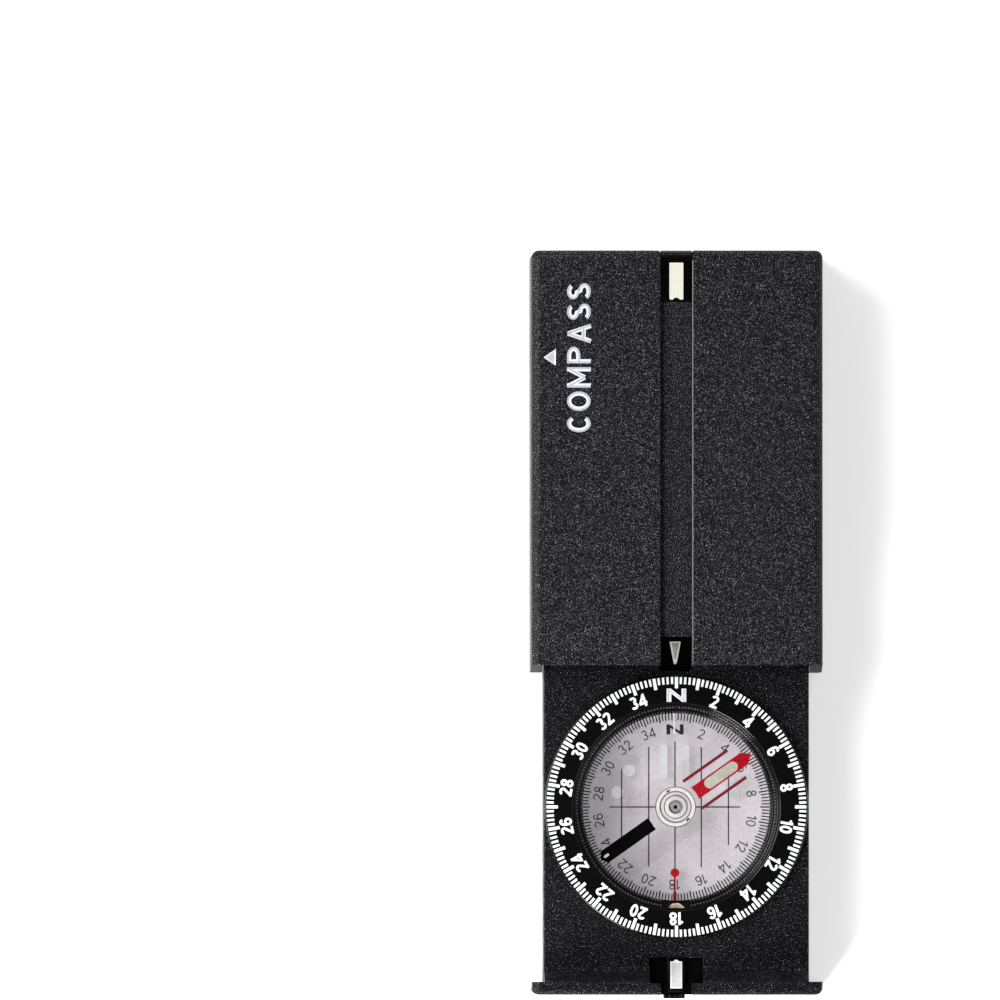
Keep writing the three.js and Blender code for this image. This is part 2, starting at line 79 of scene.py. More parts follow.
def grown(span, low, high):
    """A span with its two ends moved."""
    return (span[0] + low, span[1] + high)


def mirrored_span(span, sign):
    return span if sign > 0 else (-span[1], -span[0])


def rectangle(u, v):
    """The four corners of a rectangle, round from its low corner."""
    return [(u[0], v[0]), (u[1], v[0]), (u[1], v[1]), (u[0], v[1])]


def bow(centre, radii, low, high, steps=18):
    """Points along part of an ellipse, in degrees anticlockwise from +X."""
    made = []
    for k in range(steps + 1):
        angle = math.radians(low + (high - low) * k / steps)
        made.append((centre[0] + radii[0] * math.cos(angle), centre[1] + radii[1] * math.sin(angle)))
    return made


def arc_points(radius, low, high, steps=12):
    """Points on a circle about the origin between two compass bearings from +Y."""
    made = []
    for k in range(steps + 1):
        angle = math.radians(low + (high - low) * k / steps)
        made.append((radius * math.sin(angle), radius * math.cos(angle)))
    return made


# --- solids -------------------------------------------------------------------


def link(mesh, name):
    made = bpy.data.objects.new(name, mesh)
    bpy.context.scene.collection.objects.link(made)
    return made


def from_bmesh(form, name="solid"):
    bmesh.ops.recalc_face_normals(form, faces=form.faces)
    mesh = bpy.data.meshes.new(name)
    form.to_mesh(mesh)
    form.free()
    return link(mesh, name)


def applied(obj):
    """Replaces an object's mesh by what its modifiers make of it."""
    graph = bpy.context.evaluated_depsgraph_get()
    mesh = bpy.data.meshes.new_from_object(obj.evaluated_get(graph))
    obj.modifiers.clear()
    old, obj.data = obj.data, mesh
    bpy.data.meshes.remove(old)
    return obj


def combine(obj, other, operation):
    change = obj.modifiers.new("combine", "BOOLEAN")
    change.object = other
    change.operation = operation
    change.solver = "MANIFOLD"
    applied(obj)
    bpy.data.objects.remove(other)
    return obj


def cut(obj, *tools):
    for tool in tools:
        combine(obj, tool, "DIFFERENCE")
    return obj


def union(obj, *others):
    for other in others:
        combine(obj, other, "UNION")
    return obj


def common(obj, *others):
    for other in others:
        combine(obj, other, "INTERSECT")
    return obj


def joined(objects, name):
    """One mesh from several objects, without any boolean; the objects are used up."""
    form = bmesh.new()
    for obj in objects:
        form.from_mesh(obj.data)
        bpy.data.objects.remove(obj)
    mesh = bpy.data.meshes.new(name)
    form.to_mesh(mesh)
    form.free()
    return link(mesh, name)


def transformed(obj, matrix):
    obj.data.transform(matrix)
    return obj


def moved(obj, x=0, y=0, z=0):
    return transformed(obj, Matrix.Translation((x, y, z)))


def bearing_turn(bearing):
    """The turn about Z that brings north to a compass bearing in degrees."""
    return Matrix.Rotation(-math.radians(bearing), 4, "Z")


def edge_bevel(obj, width, segments=2, angle=50):
    change = obj.modifiers.new("bevel", "BEVEL")
    change.width = width
    change.segments = segments
    change.limit_method = "ANGLE"
    change.angle_limit = math.radians(angle)
    change.use_clamp_overlap = True
    return applied(obj)


def rounded(points, radii, steps=5):
    """A closed outline with its corners rounded; radii is one number or one for each corner."""
    count = len(points)
    if not isinstance(radii, (list, tuple)):
        radii = [radii] * count
    made = []
    for i, (point, radius) in enumerate(zip(points, radii)):
        here = Vector(point)
        before = Vector(points[i - 1]) - here
        after = Vector(points[(i + 1) % count]) - here
        if radius <= 0:
            made.append(tuple(here))
            continue
        half = before.angle(after) / 2
        reach = min(radius / math.tan(half), 0.49 * before.length, 0.49 * after.length)
        used = reach * math.tan(half)
        inward = (before.normalized() + after.normalized()).normalized()
        middle = here + inward * (used / math.sin(half))
        start = here + before.normalized() * reach - middle
        end = here + after.normalized() * reach - middle
        turn = math.atan2(start.cross(end), start.dot(end))
        for step in range(steps + 1):
            made.append(tuple(middle + Matrix.Rotation(turn * step / steps, 2) @ start))
    return made


def add_bar(form, foot, top):
    """The faces of a closed bar between two loops of equal length."""
    form.faces.new(foot)
    form.faces.new(list(reversed(top)))
    for i in range(len(foot)):
        j = (i + 1) % len(foot)
        form.faces.new([foot[i], foot[j], top[j], top[i]])


def prism(points, axis, low, high):
    """An outline carried from low to high along an axis: (x, y) for z, (y, z) for x, (x, z) for y."""
    place = {
        "x": lambda u, v, w: (w, u, v),
        "y": lambda u, v, w: (u, w, v),
        "z": lambda u, v, w: (u, v, w),
    }[axis]
    form = bmesh.new()
    ends = [[form.verts.new(place(u, v, w)) for u, v in points] for w in (low, high)]
    add_bar(form, *ends)
    return from_bmesh(form)


def block(x, y, z, radius=0.0, segments=3):
    made = prism(rectangle(x, y), "z", *z)
    return edge_bevel(made, radius, segments) if radius else made


def lathe(profile, centre=(0, 0), segments=192):
    """A closed (radius, height) profile turned about an upright axis."""
    form = bmesh.new()
    rings = []
    for radius, height in profile:
        if radius <= ON_AXIS:
            rings.append([form.verts.new((centre[0], centre[1], height))] * segments)
            continue
        ring = []
        for i in range(segments):
            angle = FULL_TURN * i / segments
            x = centre[0] + radius * math.cos(angle)
            y = centre[1] + radius * math.sin(angle)
            ring.append(form.verts.new((x, y, height)))
        rings.append(ring)
    for near, far in zip(rings, rings[1:] + rings[:1]):
        for i in range(segments):
            j = (i + 1) % segments
            corners = list(dict.fromkeys([near[i], near[j], far[j], far[i]]))
            if len(corners) > 2:
                form.faces.new(corners)
    return from_bmesh(form)


def turned(points, radii, centre=(0, 0), segments=192, steps=4):
    return lathe(rounded(points, radii, steps), centre, segments)


def cylinder(radius, z, centre=(0, 0), segments=64):
    return lathe(rectangle((0, radius), z), centre, segments)


# Upright Z becomes X, for pieces turned about the tilt axis.
ALONG_X = Matrix(((0, 0, 1, 0), (1, 0, 0, 0), (0, 1, 0, 0), (0, 0, 0, 1)))


def about_tilt_axis(profile, radii=0, segments=64):
    made = transformed(turned(profile, radii, segments=segments), ALONG_X)
    return moved(made, 0, PIN_Y, PIN_Z)


def other_side(obj, sign):
    """The same shape, or its mirror image across the middle plane."""
    if sign < 0:
        transformed(obj, Matrix.Scale(-1, 4, (1, 0, 0)))
        obj.data.flip_normals()
    return obj


def soften(obj, angle=35):
    """Smooth shading that keeps flat faces flat and breaks at sharp edges."""
    obj.data.shade_smooth()
    obj.data.set_sharp_from_angle(angle=math.radians(angle))
    weigh = obj.modifiers.new("normals", "WEIGHTED_NORMAL")
    weigh.keep_sharp = True
    weigh.weight = 100
    return applied(obj)


def piece(obj, name, body, material, replaces=None, angle=35):
    """Turns a finished shape into a named piece of the model, in metres."""
    obj.name = name
    obj.data.name = name
    soften(obj, angle)
    obj.data.transform(Matrix.Scale(MM, 4))
    marked = [polygon.material_index for polygon in obj.data.polygons]
    obj.data.materials.clear()
    obj.data.materials.append(material)
    obj.data.polygons.foreach_set("material_index", marked)
    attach(obj, body)
    if replaces:
        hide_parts(*([replaces] if isinstance(replaces, str) else replaces))
    return obj


# --- materials ----------------------------------------------------------------


def node(tree, kind, sockets=None, **settings):
    made = tree.nodes.new(kind)
    for key, value in settings.items():
        setattr(made, key, value)
    for key, value in (sockets or {}).items():
        if isinstance(value, bpy.types.NodeSocket):
            tree.links.new(value, made.inputs[key])
        else:
            made.inputs[key].default_value = value
    return made


SHEEN_PER_MM = 0.06


def blank(name):
    material = bpy.data.materials.new(name)
    material.use_nodes = True
    tree = material.node_tree
    tree.nodes.clear()
    place = node(tree, "ShaderNodeTexCoord").outputs["Object"]
    spot = node(tree, "ShaderNodeMapping", {"Vector": place, "Scale": (1 / MM, 1 / MM, 1 / MM)})
    return material, tree, spot.outputs["Vector"]


def noise(tree, spot, per_mm, detail=2.0, roughness=0.5, distortion=0.0):
    sockets = {
        "Vector": spot,
        "Scale": per_mm,
        "Detail": detail,
        "Roughness": roughness,
        "Distortion": distortion,
    }
    return node(tree, "ShaderNodeTexNoise", sockets).outputs["Fac"]


def ramp(tree, value, stops):
    made = node(tree, "ShaderNodeValToRGB", {"Fac": value})
    elements = made.color_ramp.elements
    while len(elements) < len(stops):
        elements.new(0.5)
    for element, (position, colour) in zip(elements, stops):
        element.position = position
        element.color = (*colour, 1) if isinstance(colour, tuple) else (colour, colour, colour, 1)
    return made.outputs["Color"]


def scaled(tree, value, low, high):
    sockets = {"Value": value, "To Min": low, "To Max": high}
    return node(tree, "ShaderNodeMapRange", sockets).outputs["Result"]


def bump(tree, height, distance_mm, strength=1.0):
    sockets = {"Height": height, "Distance": distance_mm * MM, "Strength": strength}
    return node(tree, "ShaderNodeBump", sockets).outputs["Normal"]


def close(tree, shader):
    node(tree, "ShaderNodeOutputMaterial", {"Surface": shader.outputs[0]})


def moulded(name, stops, roughness, grain=3.0, depth=0.02, specular=0.3):
    """Moulded plastic with a fine spark-eroded grain: a bump, slow changes of gloss, and a colour that
    follows the grain; where the stops rise high, its pale specks are painted glints off the grain.
    """
    material, tree, spot = blank(name)
    fine = noise(tree, spot, grain, 3.0, 0.65)
    slow = noise(tree, spot, SHEEN_PER_MM, 2.0)
    sockets = {
        "Base Color": ramp(tree, fine, stops),
        "Roughness": scaled(tree, slow, roughness - 0.05, roughness + 0.05),
        "Normal": bump(tree, fine, depth),
        "Specular IOR Level": specular,
    }
    close(tree, node(tree, "ShaderNodeBsdfPrincipled", sockets))
    return material


def painted(name, low, high, roughness=0.45, grain=2.0, depth=0.004, specular=0.35, glow=0.0):
    """Print or enamel: nearly even, with a slightly uneven colour and surface. A glow above 0 is painted
    light: the print shines though it is no lamp.
    """
    material, tree, spot = blank(name)
    uneven = noise(tree, spot, grain, 3.0)
    sockets = {
        "Base Color": ramp(tree, uneven, [(0.3, low), (0.7, high)]),
        "Roughness": scaled(tree, uneven, roughness - 0.08, roughness + 0.08),
        "Normal": bump(tree, uneven, depth),
        "Specular IOR Level": specular,
        # Emission here is painted light, a glow on print that is no lamp.
        "Emission Color": (0.98, 0.98, 1, 1),
        "Emission Strength": glow,
    }
    close(tree, node(tree, "ShaderNodeBsdfPrincipled", sockets))
    return material


def metal(name, low, high, roughness, grain=1.5, stretch=(1, 1, 1), depth=0.002):
    material, tree, spot = blank(name)
    along = node(tree, "ShaderNodeMapping", {"Vector": spot, "Scale": stretch}).outputs["Vector"]
    lines = noise(tree, along, grain, 4.0, 0.6)
    sockets = {
        "Base Color": ramp(tree, lines, [(0.3, low), (0.7, high)]),
        "Metallic": 1.0,
        "Roughness": scaled(tree, lines, roughness - 0.08, roughness + 0.1),
        "Normal": bump(tree, lines, depth),
    }
    close(tree, node(tree, "ShaderNodeBsdfPrincipled", sockets))
    return material


def clear(name, tint, mirrored=0.035, roughness=0.04, haze=0.0, haze_colour=(0.8, 0.8, 0.78, 1)):
    """Clear moulding: straight-through light, a mirror-like skin, faint streaks and an optional haze."""
    material, tree, spot = blank(name)
    streaks = noise(tree, spot, 0.35, 4.0, 0.6, 0.6)
    dust = noise(tree, spot, 1.8, 5.0, 0.7)
    tints = [(0.25, tuple(0.985 * c for c in tint)), (0.75, tint)]
    through = node(tree, "ShaderNodeBsdfTransparent", {"Color": ramp(tree, streaks, tints)})
    wave = bump(tree, streaks, 0.01)
    facing = node(tree, "ShaderNodeLayerWeight", {"Blend": 0.5}).outputs["Facing"]
    steep = node(tree, "ShaderNodeMath", {0: facing, 1: 4.0}, operation="POWER").outputs[0]
    share = scaled(tree, steep, mirrored, 0.85)
    sockets = {
        "Color": (1, 1, 1, 1),
        "Roughness": scaled(tree, dust, roughness, roughness + 0.06),
        "Normal": wave,
    }
    skin = node(tree, "ShaderNodeBsdfAnisotropic", sockets)
    shader = node(tree, "ShaderNodeMixShader", {0: share, 1: through.outputs[0], 2: skin.outputs[0]})
    if haze:
        cloud = scaled(tree, dust, 0.7 * haze, 1.3 * haze)
        milky = node(tree, "ShaderNodeBsdfDiffuse", {"Color": haze_colour})
        mixed = {0: cloud, 1: shader.outputs[0], 2: milky.outputs[0]}
        shader = node(tree, "ShaderNodeMixShader", mixed)
    close(tree, shader)
    return material


# The top stops of the cover and base ramps paint pale specks, glints off the grain, into the colour.
COVER_PLASTIC = moulded(
    "cover_grained_plastic",
    [(0.46, (0.0003, 0.0003, 0.0005)), (0.545, (0.0045, 0.0044, 0.0057)),
     (0.61, (0.042, 0.041, 0.048)), (0.69, (0.24, 0.235, 0.26))],
    0.47, grain=6.6, depth=0.008, specular=0.085,
)
BASE_PLASTIC = moulded(
    "base_grained_plastic",
    [(0.48, (0.0003, 0.0003, 0.0004)), (0.57, (0.0025, 0.0024, 0.003)),
     (0.63, (0.042, 0.041, 0.047)), (0.71, (0.33, 0.325, 0.35))],
    0.38, grain=5.4, depth=0.012, specular=0.085,
)
BEZEL_PLASTIC = moulded("bezel_glossy_plastic", [(0.3, 0.0012), (0.7, 0.0022)], 0.16, 1.2, 0.0012)
# Near-black smooth plastic for the trays and the retainer; on the recess faces of cover and base its
# darkness is painted shade.
TRIM_AND_RECESS_SHADE_PLASTIC = moulded("trim_black_and_recess_shade", [(0.35, 0.0004), (0.7, 0.0012)], 0.24, 3.0, 0.003, 0.15)
# A paler, glossier black for the channel's right edge and the bezel ribs: its lighter colour is a painted
# highlight along them.
EDGE_HIGHLIGHT_PLASTIC = moulded("edge_painted_highlight_plastic", [(0.35, 0.03), (0.7, 0.09)], 0.26, 2.5, 0.003, 0.8)
SHOE_PLASTIC = moulded("shoe_dark_plastic", [(0.35, 0.012), (0.7, 0.035)], 0.4, 2.0, 0.008)
RUBBER = moulded("seal_rubber", [(0.35, 0.006), (0.7, 0.018)], 0.75)

GLUE = painted("mirror_glue", (0.02, 0.02, 0.022), (0.05, 0.05, 0.055), 0.6, depth=0.02)
WHITE_PRINT = painted("white_print", (0.5, 0.51, 0.53), (0.6, 0.61, 0.63), 0.5, depth=0.003)
CORE_PRINT = painted("grey_blue_print", (0.24, 0.27, 0.33), (0.34, 0.37, 0.43), 0.5, depth=0.003)
BLACK_PRINT = painted("black_print", (0.004, 0.004, 0.005), (0.012, 0.012, 0.014))
LINE_PRINT = painted("meridian_print", (0.012, 0.01, 0.012), (0.028, 0.024, 0.028), 0.5)
RED_PAINT = painted("red_enamel", (0.24, 0.002, 0.007), (0.33, 0.003, 0.011), 0.3)
DARK_RED_PAINT = painted("dark_red_line", (0.09, 0.001, 0.004), (0.13, 0.002, 0.006), 0.4)
POINTER_RED = painted("pointer_red", (0.62, 0.004, 0.016), (0.76, 0.006, 0.024), 0.35)
BLACK_PAINT = painted(
    "black_enamel", (0.0005, 0.0005, 0.0005), (0.0015, 0.0015, 0.0018), 0.2, specular=0.15
)
LUMINOUS = painted(
    "luminous_cream", (0.44, 0.435, 0.37), (0.51, 0.505, 0.43), 0.55, grain=3.0, depth=0.01
)
LUMINOUS_WHITE = painted(
    "luminous_white", (0.34, 0.345, 0.325), (0.4, 0.405, 0.385), 0.55, grain=3.0, depth=0.01
)
# Paler white round the near bar and the index: a painted highlight on their rims.
RIM_HIGHLIGHT_WHITE = painted("rim_painted_highlight", (0.52, 0.52, 0.51), (0.6, 0.6, 0.59), 0.5)
LUMINOUS_GREEN = painted("luminous_grey_green", (0.26, 0.27, 0.215), (0.37, 0.38, 0.31), 0.5)
# A darker copy of the luminous grey-green for the index triangle: painted shade of the notch.
INDEX_GREEN_PAINTED_SHADE = painted("index_grey_green_painted_shade", (0.17, 0.175, 0.135), (0.31, 0.315, 0.265), 0.5, grain=1.4)
# The white marks on the disc, the north line and the tail mark glow a little: painted light that lifts them
# out of the bezel's shade.
MARK_WHITE_PAINTED_GLOW = painted("mark_print_painted_glow", (0.3, 0.3, 0.31), (0.34, 0.34, 0.35), 0.5, glow=0.44)
# Near black on the hub's step walls and slot floors: painted shade that draws the dark rings of the clear
# hub.
HUB_STEP_SHADE = painted("hub_step_wall_painted_shade", (0.006, 0.005, 0.004), (0.05, 0.045, 0.04), 0.3, grain=1.2)
# Pale brass on two rings of the screw head: painted highlights.
BRASS_HIGHLIGHT = painted("brass_painted_highlight", (0.5, 0.45, 0.32), (0.74, 0.68, 0.52), 0.3)

STEEL = metal("turned_steel", (0.42, 0.43, 0.45), (0.62, 0.63, 0.65), 0.3, 4.0, (6, 1, 1))
MAGNET = metal("magnet_steel", (0.3, 0.3, 0.31), (0.45, 0.45, 0.46), 0.4, 2.5)
BRASS = metal("turned_brass", (0.5, 0.33, 0.11), (0.78, 0.56, 0.24), 0.42, 3.0)
SILVERING = metal("mirror_silvering", (0.86, 0.88, 0.9), (0.92, 0.93, 0.94), 0.1, 0.2, depth=0.0)

PALE_TINT = (0.995, 0.993, 0.995)
LID_CLEAR = clear("lid_clear_plastic", PALE_TINT, 0.03)
CASE_CLEAR = clear("capsule_clear_plastic", PALE_TINT, 0.01)
DISC_CLEAR = clear("disc_clear_plastic", PALE_TINT, 0.008)
BACK_CLEAR = clear("back_frosted_plastic", (0.995, 0.99, 0.995), 0.01, haze=0.42,
                   haze_colour=(0.94, 0.915, 0.94, 1))
PLATE_CLEAR = clear("needle_clear_plastic", (0.995, 0.99, 0.99), 0.02)
HUB_CLEAR = clear("hub_milky_plastic", (0.95, 0.94, 0.93), 0.06, haze=0.5,
                  haze_colour=(0.76, 0.735, 0.71, 1))
JEWEL = clear("pale_jewel", (0.8, 0.8, 0.82), 0.12, 0.02, haze=0.3, haze_colour=(0.55, 0.54, 0.55, 1))

# --- lettering ------------------------------------------------------------------


def ribbon(points, width, z, closed=False):
    """A stroke of constant width along a path, as a closed solid."""
    count = len(points)
    spots = [Vector(point) for point in points]
    form = bmesh.new()
    ribs = []
    for i, spot in enumerate(spots):
        before = spots[i - 1] if i or closed else None
        after = spots[(i + 1) % count] if i < count - 1 or closed else None
        ahead = (after - spot).normalized() if after is not None else (spot - before).normalized()
        behind = (spot - before).normalized() if before is not None else ahead
        along = (ahead + behind).normalized()
        side = Vector((-along.y, along.x))
        reach = width / 2 / max(0.6, along.dot(ahead))
        left, right = spot + side * reach, spot - side * reach
        ribs.append([form.verts.new((*p, h)) for p, h in
                     ((left, z[0]), (right, z[0]), (right, z[1]), (left, z[1]))])
    pairs = list(zip(ribs, ribs[1:])) + ([(ribs[-1], ribs[0])] if closed else [])
    for near, far in pairs:
        for k in range(4):
            m = (k + 1) % 4
            form.faces.new([near[k], near[m], far[m], far[k]])
    if not closed:
        form.faces.new(ribs[0])
        form.faces.new(list(reversed(ribs[-1])))
    return from_bmesh(form)


def line(*points):
    """An open path for strokes()."""
    return (points, False)


def strokes(letter, weight, width):
    """Paths of one plain letter or digit, one unit high: a list of (points, closed)."""
    h = weight / 2
    w = width
    mid = w / 2
    if letter in "0O":
        return [(bow((mid, 0.5), (mid - h, 0.5 - h), 0, 352, 44), True)]
    if letter == "1":
        x = w - h
        return [line((x, 0), (x, 1)), line((x, 1 - 1.1 * h), (x - 0.27, 0.74))]
    if letter == "2":
        top = bow((mid, 1 - mid + 0.02), (mid - h, mid - h - 0.02), 165, -32, 18)
        return [line(*top, (1.2 * h, h)), line((0, h), (w, h))]
    if letter == "3":
        upper = bow((mid, 0.735), (mid - h - 0.02, 0.265 - h), 150, -90)
        lower = bow((mid, 0.285), (mid - h, 0.285 - h), 90, -155)
        return [line(*upper), line(*lower)]
    if letter == "4":
        x = 0.74 * w
        return [line((x, 0), (x, 1)), line((0, 0.26), (w, 0.26)), line((x, 1 - 0.9 * h), (0.8 * h, 0.26))]
    if letter == "6":
        bowl = bow((mid, 0.315), (mid - h, 0.315 - h), 0, 350, 35)
        back = bow((mid + 0.01, 0.55), (mid - h + 0.01, 0.45 - h), 35, 180, 14) + [(h, 0.32)]
        return [(bowl, True), line(*back)]
    if letter == "8":
        upper = bow((mid, 0.75), (mid - h - 0.03, 0.25 - 0.7 * h), 0, 350, 35)
        lower = bow((mid, 0.28), (mid - h, 0.28 - h), 0, 350, 35)
        return [(upper, True), (lower, True)]
    sides = [line((h, 0), (h, 1)), line((w - h, 0), (w - h, 1))]
    if letter == "N":
        return [*sides, line((h, 1 - 0.75 * h), (w - h, 0.75 * h))]
    if letter == "C":
        return [line(*bow((mid, 0.5), (mid - h, 0.5 - h), 42, 318, 30))]
    if letter == "M":
        return [*sides, line((h, 1 - h), (mid, 0.25)), line((w - h, 1 - h), (mid, 0.25))]
    if letter == "P":
        bowl = [(h, 1 - h)] + bow((mid, 0.72), (mid - h, 0.28 - h), 90, -90, 14) + [(h, 0.44 + h)]
        return [sides[0], line(*bowl)]
    if letter == "A":
        foot = 0.9 * h
        top = (mid, 1 - 0.5 * h)
        bar = line((0.24 * w, 0.3), (0.76 * w, 0.3))
        return [line((foot, 0), top), line((w - foot, 0), top), bar]
    # S is the only letter left.
    upper = bow((mid, 0.745), (mid - h - 0.02, 0.255 - h), 25, 262, 20)
    lower = bow((mid, 0.265), (mid - h, 0.265 - h), 82, -155, 20)
    return [line(*upper, *lower)]


LETTER_WIDTHS = {"1": 0.42, "4": 0.66, "M": 0.86, "N": 0.72, "O": 0.82, "C": 0.74, "A": 0.8}
GLYPHS = {}


def glyph(letter, weight, width):
    """The mesh of one letter, one unit high, kept for the next time that it's needed."""
    key = (letter, weight, width)
    if key not in GLYPHS:
        paths = strokes(letter, weight, width)
        made = [ribbon(points, weight, (-0.5, 0.5), closed) for points, closed in paths]
        solid = union(made[0], *made[1:])
        GLYPHS[key] = solid.data
        bpy.data.objects.remove(solid)
    return GLYPHS[key]


def lettering(words, height, weight, gap=0.13, stretch=1.0, z=(-0.01, 0.015), width=0.6):
    """A line of letters, centred on the origin, in millimetres."""
    letters = []
    left = 0.0
    for letter in words:
        letter_width = LETTER_WIDTHS.get(letter, width)
        mesh = glyph(letter, weight, letter_width).copy()
        mesh.transform(Matrix.Translation((left, -0.5, 0)))
        letters.append(link(mesh, "letter"))
        left += letter_width + gap
    text = moved(joined(letters, "lettering"), -(left - gap) / 2)
    transformed(text, Matrix.Diagonal((height * stretch, height, z[1] - z[0], 1)))
    return moved(text, z=(z[0] + z[1]) / 2)


# --- cover --------------------------------------------------------------------

FACE_Z = COVER_TOP - 0.02
FOOT_R = 0.15
EDGE_R = 1.4
PLAN_R = 1.2
CORNER_STEPS = 10
BOX_X = (-HALF_WIDTH, HALF_WIDTH)
WALL = 1.75
FAR_WALL = 2
TOP_PLATE = 1.6
EAR_REACH = 1.05
CHANNEL_X = (-2.5, 2.3)
CHANNEL_FLOOR = COVER_TOP - 0.9
NOTCH_FAR = COVER_Y[0] + EAR_REACH + 4.3
COVER_NEAR = COVER_Y[0] + EAR_REACH
EAR_TOP = 12.4
PIN_Y, PIN_Z, PIN_R = -5.9, 10.9, 0.7
SIGHT_X = sum(CHANNEL_X) / 2
FAR_POCKET_FAR = COVER_Y[1] - 1.65
FAR_POCKET_Y = (FAR_POCKET_FAR - 6.15, FAR_POCKET_FAR)
POCKET_Z = COVER_TOP - 1.15
FAR_BLOCK_TOP = COVER_TOP - 0.24
SLIT_DEPTH = 0.6


def box_section():
    """The outline across the cover and the end cap, with the top edges rounded."""
    return rounded(rectangle(BOX_X, (0, FACE_Z)), [FOOT_R, FOOT_R, EDGE_R, EDGE_R], CORNER_STEPS)


def box_plan(near, far):
    """The outline from above, with the two corners at its far end rounded."""
    return rounded(rectangle(BOX_X, (near, far)), [0, 0, PLAN_R, PLAN_R], CORNER_STEPS)


def flared(low_x, high_x, floor, top, radius, reach=1.0, steps=5):
    """The section of a trough whose upper edges are rounded over."""
    points = [(low_x, floor), (high_x, floor)]
    for side, x in ((1, high_x), (-1, low_x)):
        arc = []
        for step in range(steps + 1):
            angle = math.pi / 2 * step / steps
            arc.append((x + side * radius * (1 - math.cos(angle)), top - radius + radius * math.sin(angle)))
        end = arc[-1][0]
        arc.append((end, top + reach))
        points += arc if side > 0 else list(reversed(arc))
    return points


def cover_shell():
    half = HALF_WIDTH
    inner = half - WALL
    ear = COVER_Y[0]
    side = rounded(
        [
            (PIN_Y, 0),
            (COVER_Y[1], 0),
            (COVER_Y[1], FACE_Z),
            (COVER_NEAR, FACE_Z),
            (COVER_NEAR, COVER_TOP - TOP_PLATE - 0.2),
            (ear, EAR_TOP),
            (ear, 0.3),
        ],
        [0.1, FOOT_R, EDGE_R, 0.12, 0.1, 0.2, 0.1], CORNER_STEPS,
    )
    shell = prism(box_section(), "y", ear - 1, COVER_Y[1] + 1)
    plan = prism(box_plan(ear - 1, COVER_Y[1]), "z", -1, COVER_TOP + 1)
    common(shell, prism(side, "x", -half - 1, half + 1), plan)
    under = COVER_TOP - TOP_PLATE
    hollow = rounded(rectangle((-inner, inner), (-1, under)), [0, 0, 0.4, 0.4], 4)
    cut(shell, prism(hollow, "y", ear - 2, COVER_Y[1] - FAR_WALL))
    trough = flared(*CHANNEL_X, CHANNEL_FLOOR, FACE_Z, 0.16)
    cut(shell, prism(trough, "y", COVER_NEAR - 1, COVER_Y[1] - 1.55))
    notch = flared(CHANNEL_X[0] - 0.003, CHANNEL_X[1] + 0.003, under - 1, FACE_Z, 0.163)
    cut(shell, prism(notch, "y", COVER_NEAR - 1.2, NOTCH_FAR))
    cut(shell, block(grown(CHANNEL_X, 0.05, -0.05), FAR_POCKET_Y, (POCKET_Z, COVER_TOP + 1)))
    far_end = (COVER_Y[1] - 1.6, COVER_Y[1] + 1)
    cut(shell, block(grown(CHANNEL_X, 0.01, -0.01), far_end, (FAR_BLOCK_TOP, COVER_TOP + 1)))
    for x in (CHANNEL_X[0] - 0.02, CHANNEL_X[1] + 0.08):
        slit_y = (COVER_Y[1] - SLIT_DEPTH, COVER_Y[1] + 1)
        cut(shell, block((x - 0.13, x + 0.13), slit_y, (-1.5, COVER_TOP + 1)))
    groove_x = half - EDGE_R - 0.1
    for x in (-groove_x, groove_x):
        groove = [(x - 0.08, FACE_Z + 0.01), (x, FACE_Z - 0.07), (x + 0.08, FACE_Z + 0.01)]
        cut(shell, prism(groove, "y", COVER_NEAR + 0.3, COVER_Y[1] - 1.7))
    for sign in (-1, 1):
        bore = about_tilt_axis(rectangle((0, PIN_R + 0.03), (inner - 1, half + 1)))
        cut(shell, other_side(bore, sign))
    return shell


def far_sight_holder():
    y = grown(FAR_POCKET_Y, 0.1, -0.1)
    tray = block(around(SIGHT_X, 4.3), y, (POCKET_Z, POCKET_Z + 0.5), 0.1)
    well = block(around(SIGHT_X, 2.3), grown(y, 0.15, -0.1), (POCKET_Z + 0.25, POCKET_Z + 2))
    return cut(tray, well)


def far_sight_mark():
    """A bar with a round bite out of its near end."""
    y = grown(FAR_POCKET_Y, 0.3, -0.25)
    low, high = around(SIGHT_X, 2.1)
    outline = [(low, y[0] + 0.9), (low, y[0] + 0.12), (low + 0.15, y[0]), (low + 0.55, y[0])]
    outline += bow((SIGHT_X, y[0] - 0.3), (0.62, 0.62), 150, 30, 6)
    outline += [(high - 0.1, y[0]), (high, y[0] + 0.1), (high, y[1]), (low, y[1])]
    bar = prism(outline, "z", POCKET_Z + 0.3, POCKET_Z + 0.9)
    return edge_bevel(bar, 0.1, 3, 40)


def paint_inside(obj, index, x, y, z, margin=0.02, facing_out=-2.0):
    """Gives a material index to the faces with all corners in a box; faces along -Y can be left."""
    for face in obj.data.polygons:
        corners = [obj.data.vertices[i].co / MM for i in face.vertices]
        held = all(
            low - margin <= min(seen) and max(seen) <= high + margin
            for (low, high), seen in zip((x, y, z), zip(*corners))
        )
        if held and face.normal.y > facing_out:
            face.material_index = index


